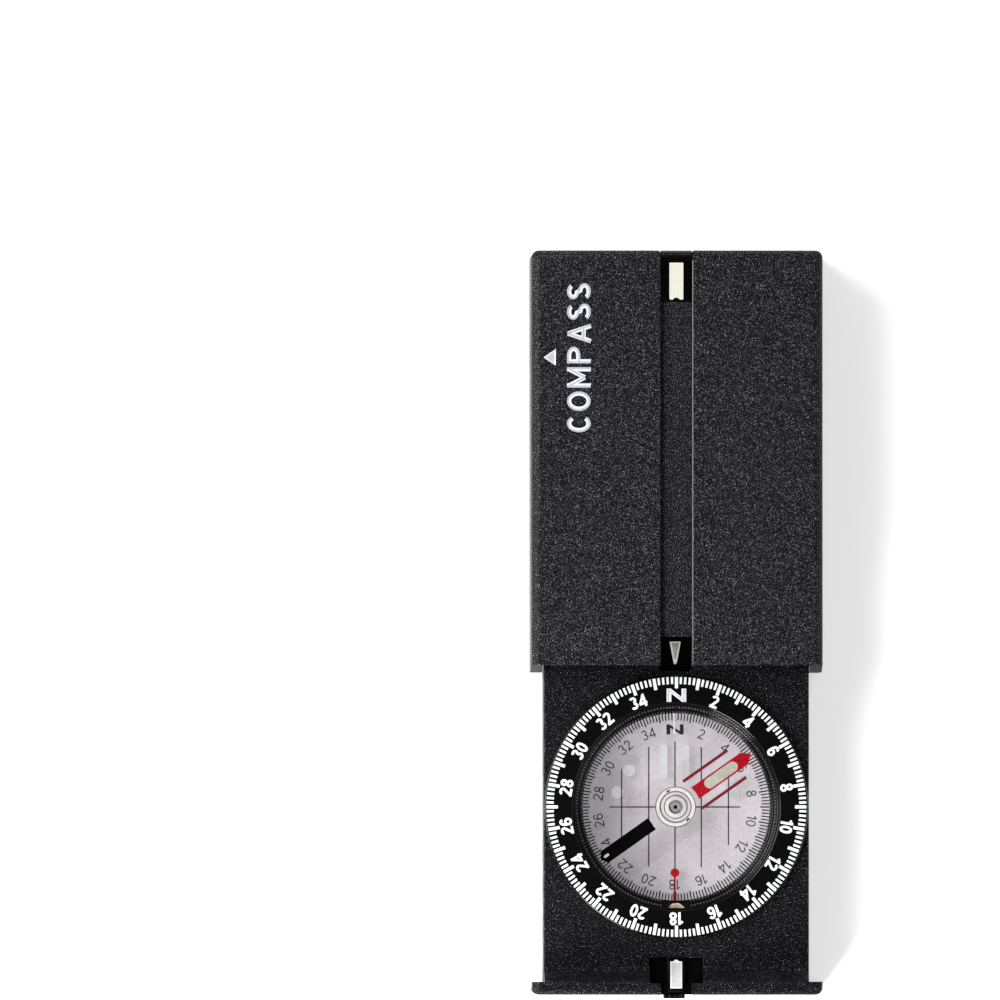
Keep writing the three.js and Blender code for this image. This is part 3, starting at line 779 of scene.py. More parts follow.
def cover_finish(obj):
    """The faces round the channel's far end and in the notch take a darker smooth black, painted shade in
    these recesses; the channel's right edge takes a paler, glossier plastic, a painted highlight.
    """
    obj.data.materials.append(TRIM_AND_RECESS_SHADE_PLASTIC)
    obj.data.materials.append(EDGE_HIGHLIGHT_PLASTIC)
    depths = (COVER_TOP - 2.2, COVER_TOP - 0.2)
    paint_inside(obj, 1, CHANNEL_X, (FAR_POCKET_Y[0], COVER_Y[1]), depths, 0.06)
    paint_inside(obj, 1, CHANNEL_X, (COVER_NEAR, NOTCH_FAR), depths, 0.06, -0.9)
    # Faces along the channel's right edge take the paler edge plastic, a painted highlight.
    for face in obj.data.polygons:
        middle = face.center / MM
        on_edge = CHANNEL_X[1] - 0.02 < middle.x < CHANNEL_X[1] + 0.3 and middle.z > COVER_TOP - 0.35
        if on_edge and face.normal.x < -0.2 and face.normal.z > 0.15:
            face.material_index = 2
    return obj


cover_piece = piece(
    cover_shell(), "cover_shell_moulding", "cover", COVER_PLASTIC, "cover_shell"
)
cover_finish(cover_piece)
piece(far_sight_holder(), "far_sight_tray", "cover", TRIM_AND_RECESS_SHADE_PLASTIC, "far_sight_holder")
piece(far_sight_mark(), "far_sight_bar", "cover", LUMINOUS, "far_sight_mark")

PRINT_Z = (COVER_TOP - 0.027, COVER_TOP - 0.008)
CORE_RAISE = 0.006
ARROW_AT = (-19.3, 40.47)
WORD_AT = (-14.9, 40.42)
WORD_HEIGHT = 3.6


def cover_arrow(size):
    """A small plain triangle that points to the cover's left edge."""
    x, y = ARROW_AT
    tip, foot, half = -0.95 * size, 0.9 * size, 1.25 * size
    return prism([(x + tip, y), (x + foot, y - half), (x + foot, y + half)], "z", *PRINT_Z)


def cover_word(weight):
    word = lettering("COMPASS", WORD_HEIGHT, weight, 0.16, z=(0, PRINT_Z[1] - PRINT_Z[0]), width=0.7)
    return moved(transformed(word, bearing_turn(-90)), *WORD_AT, PRINT_Z[0])


def cover_print(arrow_size, weight, height, name, material):
    """The triangle and the word, once for the pale rim and once, thinner and higher, for the core."""
    marks = moved(joined([cover_arrow(arrow_size), cover_word(weight)], name), z=height)
    piece(marks, name, "cover", material)


cover_print(1.0, 0.175, 0, "cover_print_rim", WHITE_PRINT)
cover_print(0.72, 0.09, CORE_RAISE, "cover_print_core", CORE_PRINT)


def mirror_glass():
    return block(*cad_spans("mirror"), 0.25, 2)


def mirror_line():
    y, z = cad_spans("mirror")[1:]
    return block(around(SIGHT_X, 0.25), grown(y, 1.5, -1.5), (z[0] - 0.012, z[0] + 0.01))


def glue_film():
    x, y, z = cad_spans("mirror_adhesive")
    return prism(rounded(rectangle((-x[1], x[1]), y), 1.2, 6), "z", *z)


piece(mirror_glass(), "mirror_glass", "cover", SILVERING, "mirror")
piece(mirror_line(), "mirror_sight_line", "cover", BLACK_PRINT)
piece(glue_film(), "mirror_glue_film", "cover", GLUE, "mirror_adhesive")

# --- base ---------------------------------------------------------------------

DIAL = (0, DIAL_Y)
BASE_HALF = 20.15
DECK_Z = 12.6
CAP_OUTER = BASE_Y[0] + 0.6
CAP_INNER = CAP_OUTER + 2
RAMP_START = -52.1
RAMP_TOP_Z = 16.1
NEAR_SIGHT_X = 0
RECESS_X = around(NEAR_SIGHT_X, 8.2)
RECESS_Y = (CAP_INNER - 0.3, -50.5)
RECESS_FLOOR = 11.6
TAB_X = (-1.8, 1.4)
INDEX_X = -0.15
INDEX_POCKET = ((-2.55, 2.25), (-7, -1.8))
INDEX_POCKET_Z = 11.7
GROOVE_DEPTH = 1.3
GROOVE_Y = (-55.1, -0.7)


def end_cap():
    half = HALF_WIDTH
    cap = prism(box_section(), "y", CAP_OUTER, CAP_INNER)
    common(cap, prism(box_plan(CAP_INNER + 1, CAP_OUTER), "z", -1, COVER_TOP + 1))
    rounding = rounded(rectangle((CAP_OUTER, CAP_INNER + 1), (-1, FACE_Z)), [0, 0, 0, 0.7], 8)
    common(cap, prism(rounding, "x", -half - 1, half + 1))
    union(cap, block(TAB_X, (CAP_OUTER - 0.6, CAP_OUTER + 0.5), (4, 9), 0.12))
    for sign in (-1, 1):
        x = mirrored_span((BASE_HALF, half + 1), sign)
        cut(cap, block(x, (CAP_INNER - EAR_REACH - 0.1, CAP_INNER + 1), (-1, COVER_TOP - TOP_PLATE)))
    return cap


def base_housing():
    x, y = BASE_HALF, (CAP_INNER - 0.2, BASE_Y[1])
    plan = rounded(rectangle((-x, x), y), [0, 0, 1, 1], 8)
    section = rounded(rectangle((-x, x), (0, DECK_Z)), [FOOT_R, FOOT_R, 0.35, 0.35], 5)
    base = prism(plan, "z", -0.5, DECK_Z + 0.5)
    common(base, prism(section, "y", y[0] - 1, y[1] + 1))
    ramp_points = [
        (CAP_INNER - 0.3, DECK_Z - 1),
        (RAMP_START + 0.1, DECK_Z - 1),
        (RAMP_START + 0.1, DECK_Z + 0.05),
        (RAMP_START - 0.1, DECK_Z + 0.22),
        (RAMP_START - 0.4, DECK_Z + 0.3),
        (CAP_INNER, RAMP_TOP_Z),
        (CAP_INNER - 0.3, RAMP_TOP_Z),
    ]
    union(base, prism(ramp_points, "x", -x + 0.1, x - 0.1), end_cap())
    bore = turned(
        [(0, -1), (19.4, -1), (19.4, 4.6), (18.25, 4.6), (18.25, DECK_Z - 0.25),
         (18.5, DECK_Z), (18.5, DECK_Z + 1), (0, DECK_Z + 1)],
        0, DIAL,
    )
    cut(base, bore)
    recess = rounded(rectangle(RECESS_X, RECESS_Y), [0, 0, 0.3, 0.3], 4)
    cut(base, prism(recess, "z", RECESS_FLOOR, COVER_TOP + 1))
    cut(base, block(CHANNEL_X, (CAP_OUTER - 1, CAP_INNER + 1), (RECESS_FLOOR + 0.004, COVER_TOP + 1)))
    cut(base, block(*INDEX_POCKET, (INDEX_POCKET_Z, DECK_Z + 1)))
    for sign in (-1, 1):
        span = mirrored_span((BASE_HALF - GROOVE_DEPTH, BASE_HALF + 1), sign)
        cut(base, block(span, GROOVE_Y, around(PIN_Z, 2.2)))
    return edge_bevel(base, 0.07, 2, 60)


def recess_shade_faces(obj):
    """The faces in the recesses round both sights and in the index pocket take a second, darker and
    smoother black: painted shade in these recesses.
    """
    obj.data.materials.append(TRIM_AND_RECESS_SHADE_PLASTIC)
    paint_inside(obj, 1, RECESS_X, RECESS_Y, (RECESS_FLOOR, RAMP_TOP_Z))
    paint_inside(obj, 1, CHANNEL_X, (CAP_OUTER, CAP_INNER), (RECESS_FLOOR, COVER_TOP), facing_out=-0.9)
    paint_inside(obj, 1, *INDEX_POCKET, (INDEX_POCKET_Z, DECK_Z))
    return obj


def near_sight_holder():
    y = (-55.62, -50.52)
    plan = rounded(rectangle(around(NEAR_SIGHT_X, 2.6), y), [0.6, 0.6, 0.25, 0.25], 6)
    tray = edge_bevel(prism(plan, "z", RECESS_FLOOR, RECESS_FLOOR + 1), 0.1, 3, 50)
    well_z = (RECESS_FLOOR + 0.3, RECESS_FLOOR + 2)
    return cut(tray, block(around(NEAR_SIGHT_X, 2.1), grown(y, 0.3, -0.3), well_z))


def near_sight_mark():
    """A bar with a small round nub on its far end."""
    x, near, shoulder = NEAR_SIGHT_X, -55.2, -51.09
    outline = [(x - 0.9, near), (x + 0.9, near), (x + 0.9, shoulder), (x + 0.45, shoulder)]
    outline += bow((x, shoulder), (0.38, 0.25), 20, 160, 7)
    outline += [(x - 0.45, shoulder), (x - 0.9, shoulder)]
    bar = edge_bevel(prism(outline, "z", RECESS_FLOOR + 0.35, RECESS_FLOOR + 1.08), 0.08, 3, 50)
    face = rounded(rectangle(around(x, 1.4), (near + 0.25, shoulder - 0.22)), 0.12)
    return lined_top(bar, prism(face, "z", RECESS_FLOOR + 0.6, RECESS_FLOOR + 1.1))


def index_mark():
    """A triangle with a blunt tip that points at the dial."""
    corners = [(0.83, -2.6), (0.74, -2.54), (-0.74, -2.54), (-0.83, -2.6), (-0.26, -5.65), (-0.12, -5.97),
               (0.12, -5.97), (0.26, -5.65)]
    outline = [(INDEX_X + x, y) for x, y in corners]
    mark = edge_bevel(prism(outline, "z", INDEX_POCKET_Z, DECK_Z + 0.09), 0.06, 2, 40)
    inside = [(0.58, -2.75), (-0.58, -2.75), (-0.07, -5.25), (0.07, -5.25)]
    face = [(INDEX_X + x, y) for x, y in inside]
    return lined_top(mark, prism(face, "z", DECK_Z - 0.2, DECK_Z + 0.1))


def lined_top(bar, face):
    """A bar with a slightly higher face: only the face's top keeps the piece's own material, and the rest
    takes the second material, a paler painted highlight round the rim.
    """
    mark = union(bar, face)
    height = max(v.co.z for v in mark.data.vertices)
    for polygon in mark.data.polygons:
        polygon.material_index = 0 if abs(polygon.center.z - height) < 1e-4 else 1
    return mark


base_piece = piece(base_housing(), "base_moulding", "base", BASE_PLASTIC, "base_housing")
recess_shade_faces(base_piece)
piece(near_sight_holder(), "near_sight_tray", "base", TRIM_AND_RECESS_SHADE_PLASTIC, "near_sight_holder")
near_bar = piece(
    near_sight_mark(), "near_sight_bar", "base", LUMINOUS_WHITE, "near_sight_mark"
)
near_bar.data.materials.append(RIM_HIGHLIGHT_WHITE)
index = piece(index_mark(), "index_triangle", "base", INDEX_GREEN_PAINTED_SHADE, "index_mark")
index.data.materials.append(RIM_HIGHLIGHT_WHITE)

# --- slide shoes, washers and pins --------------------------------------------

SHOE_X = (BASE_HALF - 1.2, BASE_HALF - 0.1)
SHOE_Y = (-7.1, -0.9)


def slide_shoe():
    side = rounded(rectangle(SHOE_Y, (PIN_Z - 1, PIN_Z + 1)), 0.4, 6)
    shoe = edge_bevel(prism(side, "x", *SHOE_X), 0.08, 2, 50)
    return cut(shoe, about_tilt_axis(rectangle((0, PIN_R + 0.06), (18, 22))))


def friction_washer():
    return about_tilt_axis(rectangle((0.8, 1.25), cad_span("friction_washer_right", 0)), 0.03)


def hinge_pin():
    return about_tilt_axis(rectangle((0, PIN_R), cad_span("hinge_pin_right", 0)), [0, 0.12, 0.12, 0])


for label, sign in (("left", -1), ("right", 1)):
    shoe, washer = other_side(slide_shoe(), sign), other_side(friction_washer(), sign)
    piece(shoe, f"shoe_{label}", "slider", SHOE_PLASTIC, f"slide_shoe_{label}")
    piece(washer, f"washer_{label}", "slider", STEEL, f"friction_washer_{label}")
    piece(other_side(hinge_pin(), sign), f"pin_{label}", "cover", STEEL, f"hinge_pin_{label}")

# --- bezel --------------------------------------------------------------------

BEZEL_TOP = 13.5
BEZEL_TEXT_R = 16.95
SCREW_Y = DIAL_Y - 16.2


def bezel_ring():
    profile = [
        (15.55, 2.4), (18, 2.4), (18, 12.75), (20, 12.75), (20, BEZEL_TOP), (15.72, BEZEL_TOP),
        (15.72, 12.95), (15.35, 12.95), (15.35, 12.6), (14.95, 12.6), (14.95, 12.3), (14.6, 12.3),
        (14.6, 12.0), (14.2, 12.0), (14.2, 11.4), (15.55, 11.4),
    ]
    radii = [0.1, 0.15, 0.05, 0.1, 0.3, 0.14, 0.04, 0.14, 0.04, 0.12, 0.04, 0.12, 0.04, 0.12, 0.05, 0.05]
    ring = turned(profile, radii, DIAL, 288, 4)
    screw = (0, SCREW_Y)
    cut(ring, cylinder(1.63, (11.35, 12.88), screw), cylinder(0.85, (4.3, 12.2), screw))
    return cut(ring, cylinder(1.7, (1.4, 4.4), screw))


RIB_FOOT = rectangle((-0.12, 0.12), (-0.13, 0.13))
RIB_ROWS = ((15.13, 12.6), (14.4, 12.0))
RIBS_PER_ROW = 200
RIB_GAP_AT_SCREW = 7.5


def on_dial(bearing, height=0):
    """Turns what is drawn at north about the dial's axis to a compass bearing."""
    return Matrix.Translation((0, DIAL_Y, height)) @ bearing_turn(bearing)


def bezel_ribs():
    """Two rows of fine ribs on the steps inside the ring, with a gap at the screw."""
    form = bmesh.new()
    for radius, height in RIB_ROWS:
        for k in range(RIBS_PER_ROW):
            bearing = 360 * k / RIBS_PER_ROW
            if abs(bearing - 180) < RIB_GAP_AT_SCREW:
                continue
            turn = on_dial(bearing, height)
            foot = [form.verts.new(turn @ Vector((x, radius + y, -0.02))) for x, y in RIB_FOOT]
            top = [form.verts.new(turn @ Vector((0.45 * x, radius + 0.5 * y, 0.12))) for x, y in RIB_FOOT]
            add_bar(form, foot, top)
    return from_bmesh(form)


def placed(obj, bearing, radius, height):
    """Stands something drawn at the origin on the dial at a compass bearing, top outwards."""
    angle = math.radians(bearing)
    spot = Vector((radius * math.sin(angle), DIAL_Y + radius * math.cos(angle), height))
    return transformed(obj, Matrix.Translation(spot) @ bearing_turn(bearing))


def ticks(base_z, outer, short, long):
    """Graduations every 2 degrees as thin closed bars; short and long are (inner radius, width)."""
    form = bmesh.new()
    for bearing in range(0, 360, 2):
        inner, width = short if bearing % 10 else long
        corners = rectangle(around(0, width), (inner, outer))
        turn = on_dial(bearing)
        layers = [[form.verts.new(turn @ Vector((x, y, z))) for x, y in corners]
                  for z in (base_z - 0.01, base_z + 0.015)]
        add_bar(form, *layers)
    return from_bmesh(form)


def ring_numerals(height, radius, base_z, weight, name, gap=0.1):
    labels = []
    for bearing in range(20, 360, 20):
        text = lettering(str(bearing // 10), height, weight, gap)
        labels.append(placed(text, bearing, radius, base_z))
    return joined(labels, name)


piece(bezel_ring(), "bezel_ring_moulding", "bezel", BEZEL_PLASTIC, "bezel_ring")
# The ribs take the paler edge plastic: a painted highlight along the rings inside the bezel.
piece(bezel_ribs(), "bezel_inner_ribs", "bezel", EDGE_HIGHLIGHT_PLASTIC, angle=20)
bezel_ticks = ticks(BEZEL_TOP, 19.72, short=(18.65, 0.34), long=(18.0, 0.48))
piece(bezel_ticks, "bezel_graduations", "bezel", WHITE_PRINT)
bezel_numerals = ring_numerals(1.92, BEZEL_TEXT_R, BEZEL_TOP, 0.19, "numerals")
piece(bezel_numerals, "bezel_numerals", "bezel", WHITE_PRINT)
north = placed(lettering("N", 2.0, 0.17, stretch=2.05), 0, BEZEL_TEXT_R, BEZEL_TOP)
piece(north, "bezel_north_letter", "bezel", WHITE_PRINT)
north_core = placed(lettering("N", 1.86, 0.085, stretch=2.05), 0, BEZEL_TEXT_R, BEZEL_TOP + CORE_RAISE)
piece(north_core, "bezel_north_core", "bezel", CORE_PRINT)


def retaining_ring():
    ring = turned(rectangle((18.05, 19.2), (2.7, 4.4)), 0.12, DIAL, steps=3)
    for k in range(4):
        notch = block((-0.8, 0.8), (18.6, 20), (2, 3.4))
        cut(ring, placed(notch, 45 + 90 * k, 0, 0))
    return ring


piece(retaining_ring(), "bezel_retainer", "bezel", TRIM_AND_RECESS_SHADE_PLASTIC, "bezel_retaining_ring")

# --- capsule ------------------------------------------------------------------

CAPSULE_R = 15.45
CAPSULE_INNER_R = 14.7
FLOOR_Z = 5.4
FLOOR_TEXT = 1.52
FLOOR_TEXT_R = 11.8
MERIDIAN_REACH = 9.97
DISC_TOP = cad_span("declination_disc", 2)[1]


def capsule_case():
    profile = [
        (0, 4.4), (CAPSULE_R, 4.4), (CAPSULE_R, 10), (CAPSULE_INNER_R, 10), (CAPSULE_INNER_R, FLOOR_Z),
        (0, FLOOR_Z),
    ]
    return turned(profile, [0, 0.2, 0.1, 0.1, 0.15, 0], DIAL)


def capsule_gasket():
    return turned(rectangle((14.75, 15.4), cad_span("capsule_gasket", 2)), 0.14, DIAL)


def capsule_lid():
    return turned(rectangle((0, CAPSULE_R), cad_span("capsule_lid", 2)), [0, 0.1, 0.2, 0], DIAL)


def back_plate():
    plate = turned(rectangle((0, CAPSULE_R), cad_span("capsule_back_plate", 2)), [0, 0.1, 0.1, 0], DIAL)
    return cut(plate, cylinder(1.5, (1, 5), (0, SCREW_Y)))


def pivot_post():
    profile = [
        (0, FLOOR_Z), (1, FLOOR_Z), (1, FLOOR_Z + 0.5), (0.45, FLOOR_Z + 0.5), (0.45, 7.15), (0.06, 7.95),
        (0, 7.95),
    ]
    return turned(profile, [0, 0.05, 0.1, 0.08, 0.05, 0.02, 0], DIAL, 48)


piece(capsule_case(), "capsule_cup", "bezel", CASE_CLEAR, "capsule_case")
piece(capsule_gasket(), "capsule_seal", "bezel", RUBBER, "capsule_gasket")
piece(capsule_lid(), "capsule_lid_disc", "bezel", LID_CLEAR, "capsule_lid")
piece(back_plate(), "capsule_back_disc", "bezel", BACK_CLEAR, "capsule_back_plate")
piece(pivot_post(), "needle_pivot", "bezel", STEEL, "pivot_post")
floor_ticks = ticks(FLOOR_Z, 14.6, short=(13.2, 0.2), long=(12.95, 0.22))
piece(floor_ticks, "floor_graduations", "bezel", BLACK_PRINT)
floor_numerals = ring_numerals(FLOOR_TEXT, FLOOR_TEXT_R, FLOOR_Z, 0.115, "floor", 0.16)
piece(floor_numerals, "floor_numerals", "bezel", BLACK_PRINT)
floor_north = placed(lettering("N", FLOOR_TEXT, 0.16, stretch=2.38), 0, FLOOR_TEXT_R, FLOOR_Z)
piece(floor_north, "floor_north_letter", "bezel", BLACK_PRINT)


def meridians():
    """Parallel north-south lines and one across, all ending on one circle."""
    lines = []
    for x in (-8.13, -4.0, 0, 4.0, 8.13):
        along = math.sqrt(MERIDIAN_REACH ** 2 - x ** 2)
        z = (FLOOR_Z - 0.01, FLOOR_Z + 0.012)
        lines.append(block(around(x, 0.2), around(DIAL_Y, 2 * along), z))
    across = (-MERIDIAN_REACH, MERIDIAN_REACH)
    lines.append(block(across, around(DIAL_Y, 0.2), (FLOOR_Z - 0.012, FLOOR_Z + 0.01)))
    return joined(lines, "meridians")


piece(meridians(), "floor_meridians", "bezel", LINE_PRINT)
north_line = block((-0.24, 0.02), (DIAL_Y + 11.1, DIAL_Y + 14.4), (FLOOR_Z + 0.008, FLOOR_Z + 0.03))
piece(north_line, "floor_north_line", "bezel", MARK_WHITE_PAINTED_GLOW)

# --- declination disc and screw -------------------------------------------------

declination_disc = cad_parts["declination_disc"]
declination_disc.data.materials.clear()
declination_disc.data.materials.append(DISC_CLEAR)


def pill(x, y0, y1, half, z):
    """An upright bar with round ends."""
    points = bow((x, y1 - half), (half, half), 0, 180, 10) + bow((x, y0 + half), (half, half), 180, 360, 10)
    return prism(points, "z", *z)


MARK_Z = (DISC_TOP + 0.002, DISC_TOP + 0.03)


def orienting_marks():
    """Two bars beside north and two dots out to each side."""
    marks = [pill(x, DIAL_Y + 4.2, DIAL_Y + 9.5, 0.53, MARK_Z) for x in (-1.66, 1.66)]
    for bearing, radius in ((51.5, 8.9), (75.8, 9.05)):
        for side in (-1, 1):
            dot = cylinder(0.9, MARK_Z, segments=32)
            marks.append(placed(dot, side * bearing, radius, 0))
    return joined(marks, "marks")


def declination_pointer():
    """A red line with a dot at its inner end and a wider outer end."""
    outline = [(-0.15, -9.6), (0.15, -9.6), (0.15, -12.9), (0.27, -12.95), (0.27, -14.7),
               (-0.27, -14.7), (-0.27, -12.95), (-0.15, -12.9)]
    shaft = moved(prism(outline, "z", *MARK_Z), y=DIAL_Y)
    dot = cylinder(0.67, grown(MARK_Z, 0, 0.01), (0, DIAL_Y - 10.0), 32)
    return joined([shaft, dot], "pointer")


# The marks glow with painted light from their material.
piece(orienting_marks(), "orienting_marks", "declination_disc", MARK_WHITE_PAINTED_GLOW)
piece(declination_pointer(), "declination_pointer", "declination_disc", POINTER_RED)


PINION_TEETH = 8


def declination_screw():
    profile = [
        (0, 2.4), (0.7, 2.4), (0.7, 11.5), (1.55, 11.5), (1.55, 12.2), (1.38, 12.2), (1.32, 12.02),
        (1.22, 12.02), (1.18, 12.16), (1.05, 12.16), (0.98, 11.95), (0.4, 12.0), (0, 12.02),
    ]
    screw = turned(profile, [0] + [0.05] * 10 + [0, 0], (0, SCREW_Y), 96, 3)
    pitch = FULL_TURN / PINION_TEETH
    outline = []
    for tooth in range(PINION_TEETH):
        for radius, part in ((0.87, -0.27), (1.44, -0.1), (1.44, 0.1), (0.87, 0.27)):
            angle = math.pi / 2 + (tooth + 0.5 + part) * pitch
            outline.append((radius * math.cos(angle), SCREW_Y + radius * math.sin(angle)))
    union(screw, prism(outline, "z", 3.32, 4.28))
    cut(screw, block((-1, 1), (SCREW_Y - 0.15, SCREW_Y + 0.15), (0, 2.8)))
    # Two rings on the head take the pale brass: painted highlights.
    for face in screw.data.polygons:
        reach = math.hypot(face.center.x, face.center.y - SCREW_Y)
        on_head = face.center.z > 12.05 and face.normal.z > 0.3
        face.material_index = 1 if on_head and (reach > 1.34 or 1.05 < reach < 1.19) else 0
    return screw


screw_piece = piece(
    declination_screw(), "brass_screw", "declination_screw", BRASS, "declination_screw"
)
screw_piece.data.materials.append(BRASS_HIGHLIGHT)

# --- needle -------------------------------------------------------------------

NEEDLE_BEARING = 54.8
ARM_Z = (8.55, 8.7)
PLATE_Z = (8.0, 8.5)
HUB_SLOT_Z = 8.4


def on_needle(obj):
    """Turns something drawn along +Y at the origin on to the resting needle."""
    return placed(obj, NEEDLE_BEARING, 0, 0)


def needle_plate():
    half, reach = 5.0, 14.35
    spread = math.degrees(math.asin(half / reach))
    outline = arc_points(reach, -spread, spread, 16) + arc_points(reach, 180 - spread, 180 + spread, 16)
    plate = edge_bevel(prism(outline, "z", *PLATE_Z), 0.08, 2, 40)
    return cut(plate, cylinder(3.15, (7, 10), segments=64))


def north_arm():
    half, foot = 1.06, 3.75
    lean = math.degrees(math.asin(half / foot))
    outline = arc_points(foot, -lean, lean, 6) + [(half, 12.8), (0, 14.0), (-half, 12.8)]
    arm = prism(outline, "z", *ARM_Z)
    return cut(arm, pill(0, 5.5, 11.4, 0.8, (8, 9)))


def south_arm():
    half = 1.05
    return prism([(-half, -4.4), (half, -4.4), (half, -13.2), (0, -13.9), (-half, -13.2)], "z", *ARM_Z)


def side_lines():
    z = (ARM_Z[0] - 0.04, ARM_Z[0] + 0.03)
    return joined([block(around(x, 0.46), (3.15, 11.4), z) for x in (-2.49, 2.49)], "lines")


piece(on_needle(needle_plate()), "needle_plate_clear", "needle", PLATE_CLEAR, "needle_plate")
piece(on_needle(north_arm()), "needle_north_red", "needle", RED_PAINT, "needle_north_arm")
piece(on_needle(south_arm()), "needle_south_black", "needle", BLACK_PAINT, "needle_south_arm")
piece(on_needle(side_lines()), "needle_side_lines", "needle", DARK_RED_PAINT)
window = on_needle(pill(0, 5.55, 11.35, 0.75, (ARM_Z[0], ARM_Z[1] - 0.05)))
piece(window, "needle_window_mark", "needle", LUMINOUS_GREEN)
tail_mark = on_needle(pill(0, -13.3, -12.4, 0.2, (ARM_Z[1] - 0.01, ARM_Z[1] + 0.02)))
piece(tail_mark, "needle_tail_mark", "needle", MARK_WHITE_PAINTED_GLOW)


def needle_hub():
    profile = [
        (0.87, 8.0), (2.7, 8.0), (2.7, 6.6), (3.1, 6.6), (3.1, 8.45), (2.97, 8.78), (2.42, 8.74),
        (2.28, 8.52), (1.8, 8.56), (1.66, 8.8), (1.06, 8.9), (0.94, 8.6), (0.87, 8.6),
    ]
    hub = turned(profile, 0.02, segments=128, steps=2)
    for bearing in (-25 - NEEDLE_BEARING, 136 - NEEDLE_BEARING):
        slot = block((-0.3, 0.3), (2.52, 2.8), (HUB_SLOT_Z, 9))
        cut(hub, transformed(slot, bearing_turn(bearing)))
    # Step walls and slot floors take the near-black second material: painted shade.
    for face in hub.data.polygons:
        wall = abs(face.normal.z) < 0.75 and face.center.z > 8.1
        slot_floor = abs(face.center.z - HUB_SLOT_Z) < 0.005
        face.material_index = 1 if wall or slot_floor else 0
    return hub


def jewel_bearing():
    profile = [(0.12, 8.15), (0.6, 7.6), (0.6, 7.7), (0.8, 7.7), (0.8, 8.7), (0.42, 8.7), (0.27, 8.5),
               (0.12, 8.5), (0.08, 8.62), (0, 8.64), (0, 8.15)]
    jewel = turned(profile, [0.02, 0.02, 0, 0.05, 0.1, 0.05, 0.04, 0.02, 0.02, 0, 0], segments=48, steps=2)
    # The faces in the centre dimple take black bezel plastic: painted shade in the jewel's centre.
    for face in jewel.data.polygons:
        dimple = math.hypot(face.center.x, face.center.y) < 0.3 and face.center.z > 8.4
        face.material_index = 1 if dimple else 0
    return jewel


def needle_magnet():
    return turned(rectangle((1.1, 2.6), (7.05, 7.95)), 0.08, segments=64)


hub = piece(on_needle(needle_hub()), "needle_hub_rings", "needle", HUB_CLEAR, "needle_hub")
hub.data.materials.append(HUB_STEP_SHADE)
jewel = piece(on_needle(jewel_bearing()), "jewel_cup", "needle", JEWEL, "jewel_bearing")
jewel.data.materials.append(BEZEL_PLASTIC)
piece(on_needle(needle_magnet()), "magnet_ring", "needle", MAGNET, "needle_magnet")

# --- stage, light and camera ----------------------------------------------------


FLOOR_SIZE = 3.0
FLOOR_DROP = 0.05 * MM
LAMP_AIM = (0, -0.01, 0.01)
CAMERA_TILT = math.radians(1)
CAMERA_TARGET = (-26.7 * MM, 19.0 * MM, 9.0 * MM)
CAMERA_DISTANCE = 3.0
SENSOR_WIDTH = 36
FRAME_WIDTH = 0.152


def floor():
    form = bmesh.new()
    bmesh.ops.create_grid(form, x_segments=1, y_segments=1, size=FLOOR_SIZE)
    sheet = from_bmesh(form, "studio_floor")
    sheet.location.z = -FLOOR_DROP
    material, tree, spot = blank("studio_floor_paper")
    fibre = noise(tree, spot, 0.5, 2.0)
    sockets = {
        "Base Color": ramp(tree, fibre, [(0.3, 0.9), (0.7, 0.92)]),
        "Roughness": 0.9,
        "Emission Color": (1, 1, 1, 1),
        "Emission Strength": 0.4,
    }
    close(tree, node(tree, "ShaderNodeBsdfPrincipled", sockets))
    sheet.data.materials.append(material)


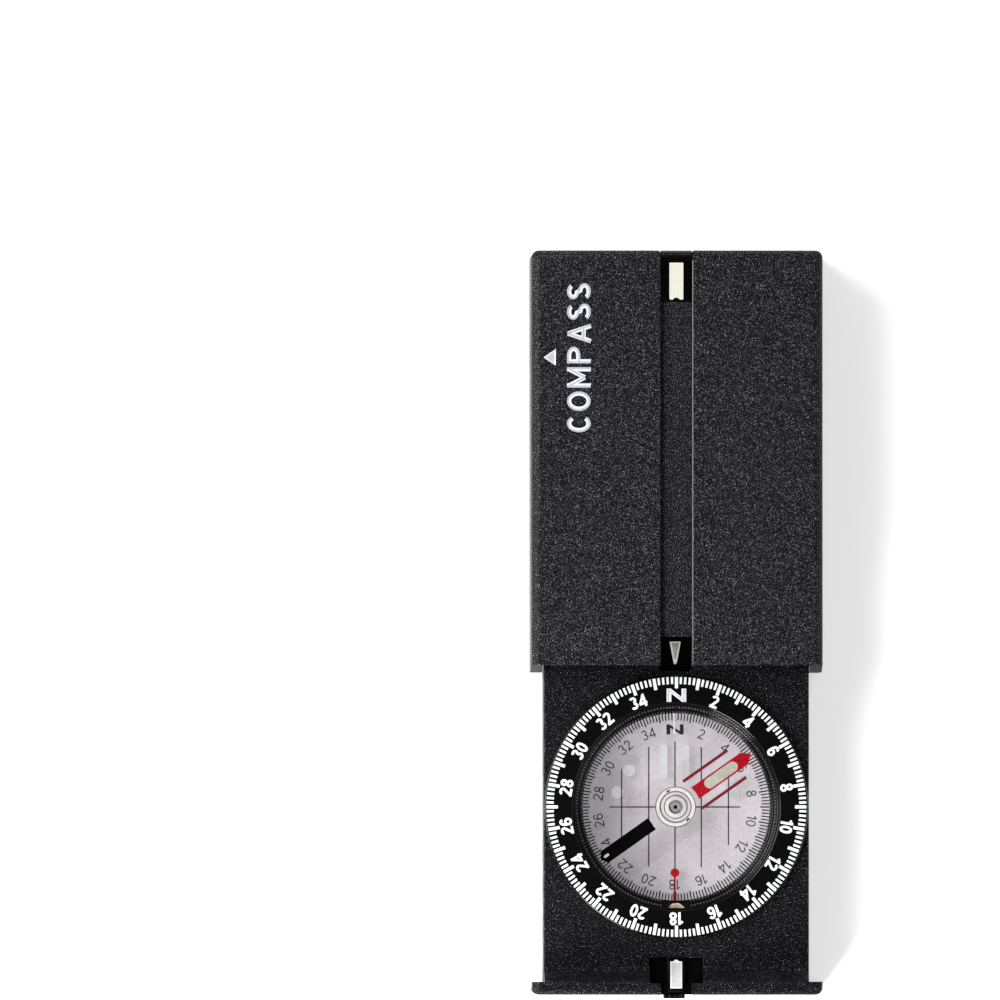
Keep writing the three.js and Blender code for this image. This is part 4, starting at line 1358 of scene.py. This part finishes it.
def softbox(name, direction, distance, size, power):
    """A square lamp that looks at the dial; the camera doesn't see the lamp itself."""
    lamp = bpy.data.lights.new(name, "AREA")
    lamp.shape = "RECTANGLE"
    lamp.size = lamp.size_y = size
    lamp.energy = power
    made = bpy.data.objects.new(name, lamp)
    bpy.context.scene.collection.objects.link(made)
    aim = Vector(direction).normalized()
    made.location = Vector(LAMP_AIM) + aim * distance
    made.visible_camera = False
    made.rotation_mode = "QUATERNION"
    made.rotation_quaternion = aim.to_track_quat("Z", "Y")


def studio():
    scene = bpy.context.scene
    scene.view_settings.view_transform = "Standard"
    scene.view_settings.look = "None"
    scene.cycles.transparent_max_bounces = 64
    world = bpy.data.worlds.new("studio_world")
    scene.world = world
    world.use_nodes = True
    tree = world.node_tree
    tree.nodes.clear()
    place = node(tree, "ShaderNodeTexCoord").outputs["Generated"]
    height = node(tree, "ShaderNodeSeparateXYZ", {0: place}).outputs["Z"]
    glow = ramp(tree, height, [(0.0, 1.0), (0.4, 0.9), (0.72, 0.25), (0.9, 0.02)])
    background = node(tree, "ShaderNodeBackground", {"Color": glow, "Strength": 1.1})
    node(tree, "ShaderNodeOutputWorld", {"Surface": background.outputs[0]})
    softbox("key_light", (-0.9, 0.3, 0.85), distance=0.75, size=0.6, power=10.0)
    softbox("fill_light", (0.85, -0.5, 0.8), distance=0.9, size=0.6, power=2.0)
    softbox("low_light", (-0.45, -0.82, 0.45), distance=0.17, size=0.06, power=0.45)


def camera():
    """A long lens, almost straight above, that shows FRAME_WIDTH across the picture."""
    lens = bpy.data.cameras.new("camera")
    lens.type = "PERSP"
    lens.sensor_width = SENSOR_WIDTH
    lens.lens = SENSOR_WIDTH * CAMERA_DISTANCE / FRAME_WIDTH
    lens.clip_start, lens.clip_end = 0.1, 10
    made = bpy.data.objects.new("camera", lens)
    bpy.context.scene.collection.objects.link(made)
    back = Vector((-math.tan(CAMERA_TILT), -math.tan(CAMERA_TILT), 1)).normalized()
    made.location = Vector(CAMERA_TARGET) + back * CAMERA_DISTANCE
    made.rotation_mode = "QUATERNION"
    right = Vector((0, 1, 0)).cross(back).normalized()
    up = back.cross(right)
    made.rotation_quaternion = Matrix((right, up, back)).transposed().to_quaternion()
    bpy.context.scene.camera = made


floor()
studio()
camera()
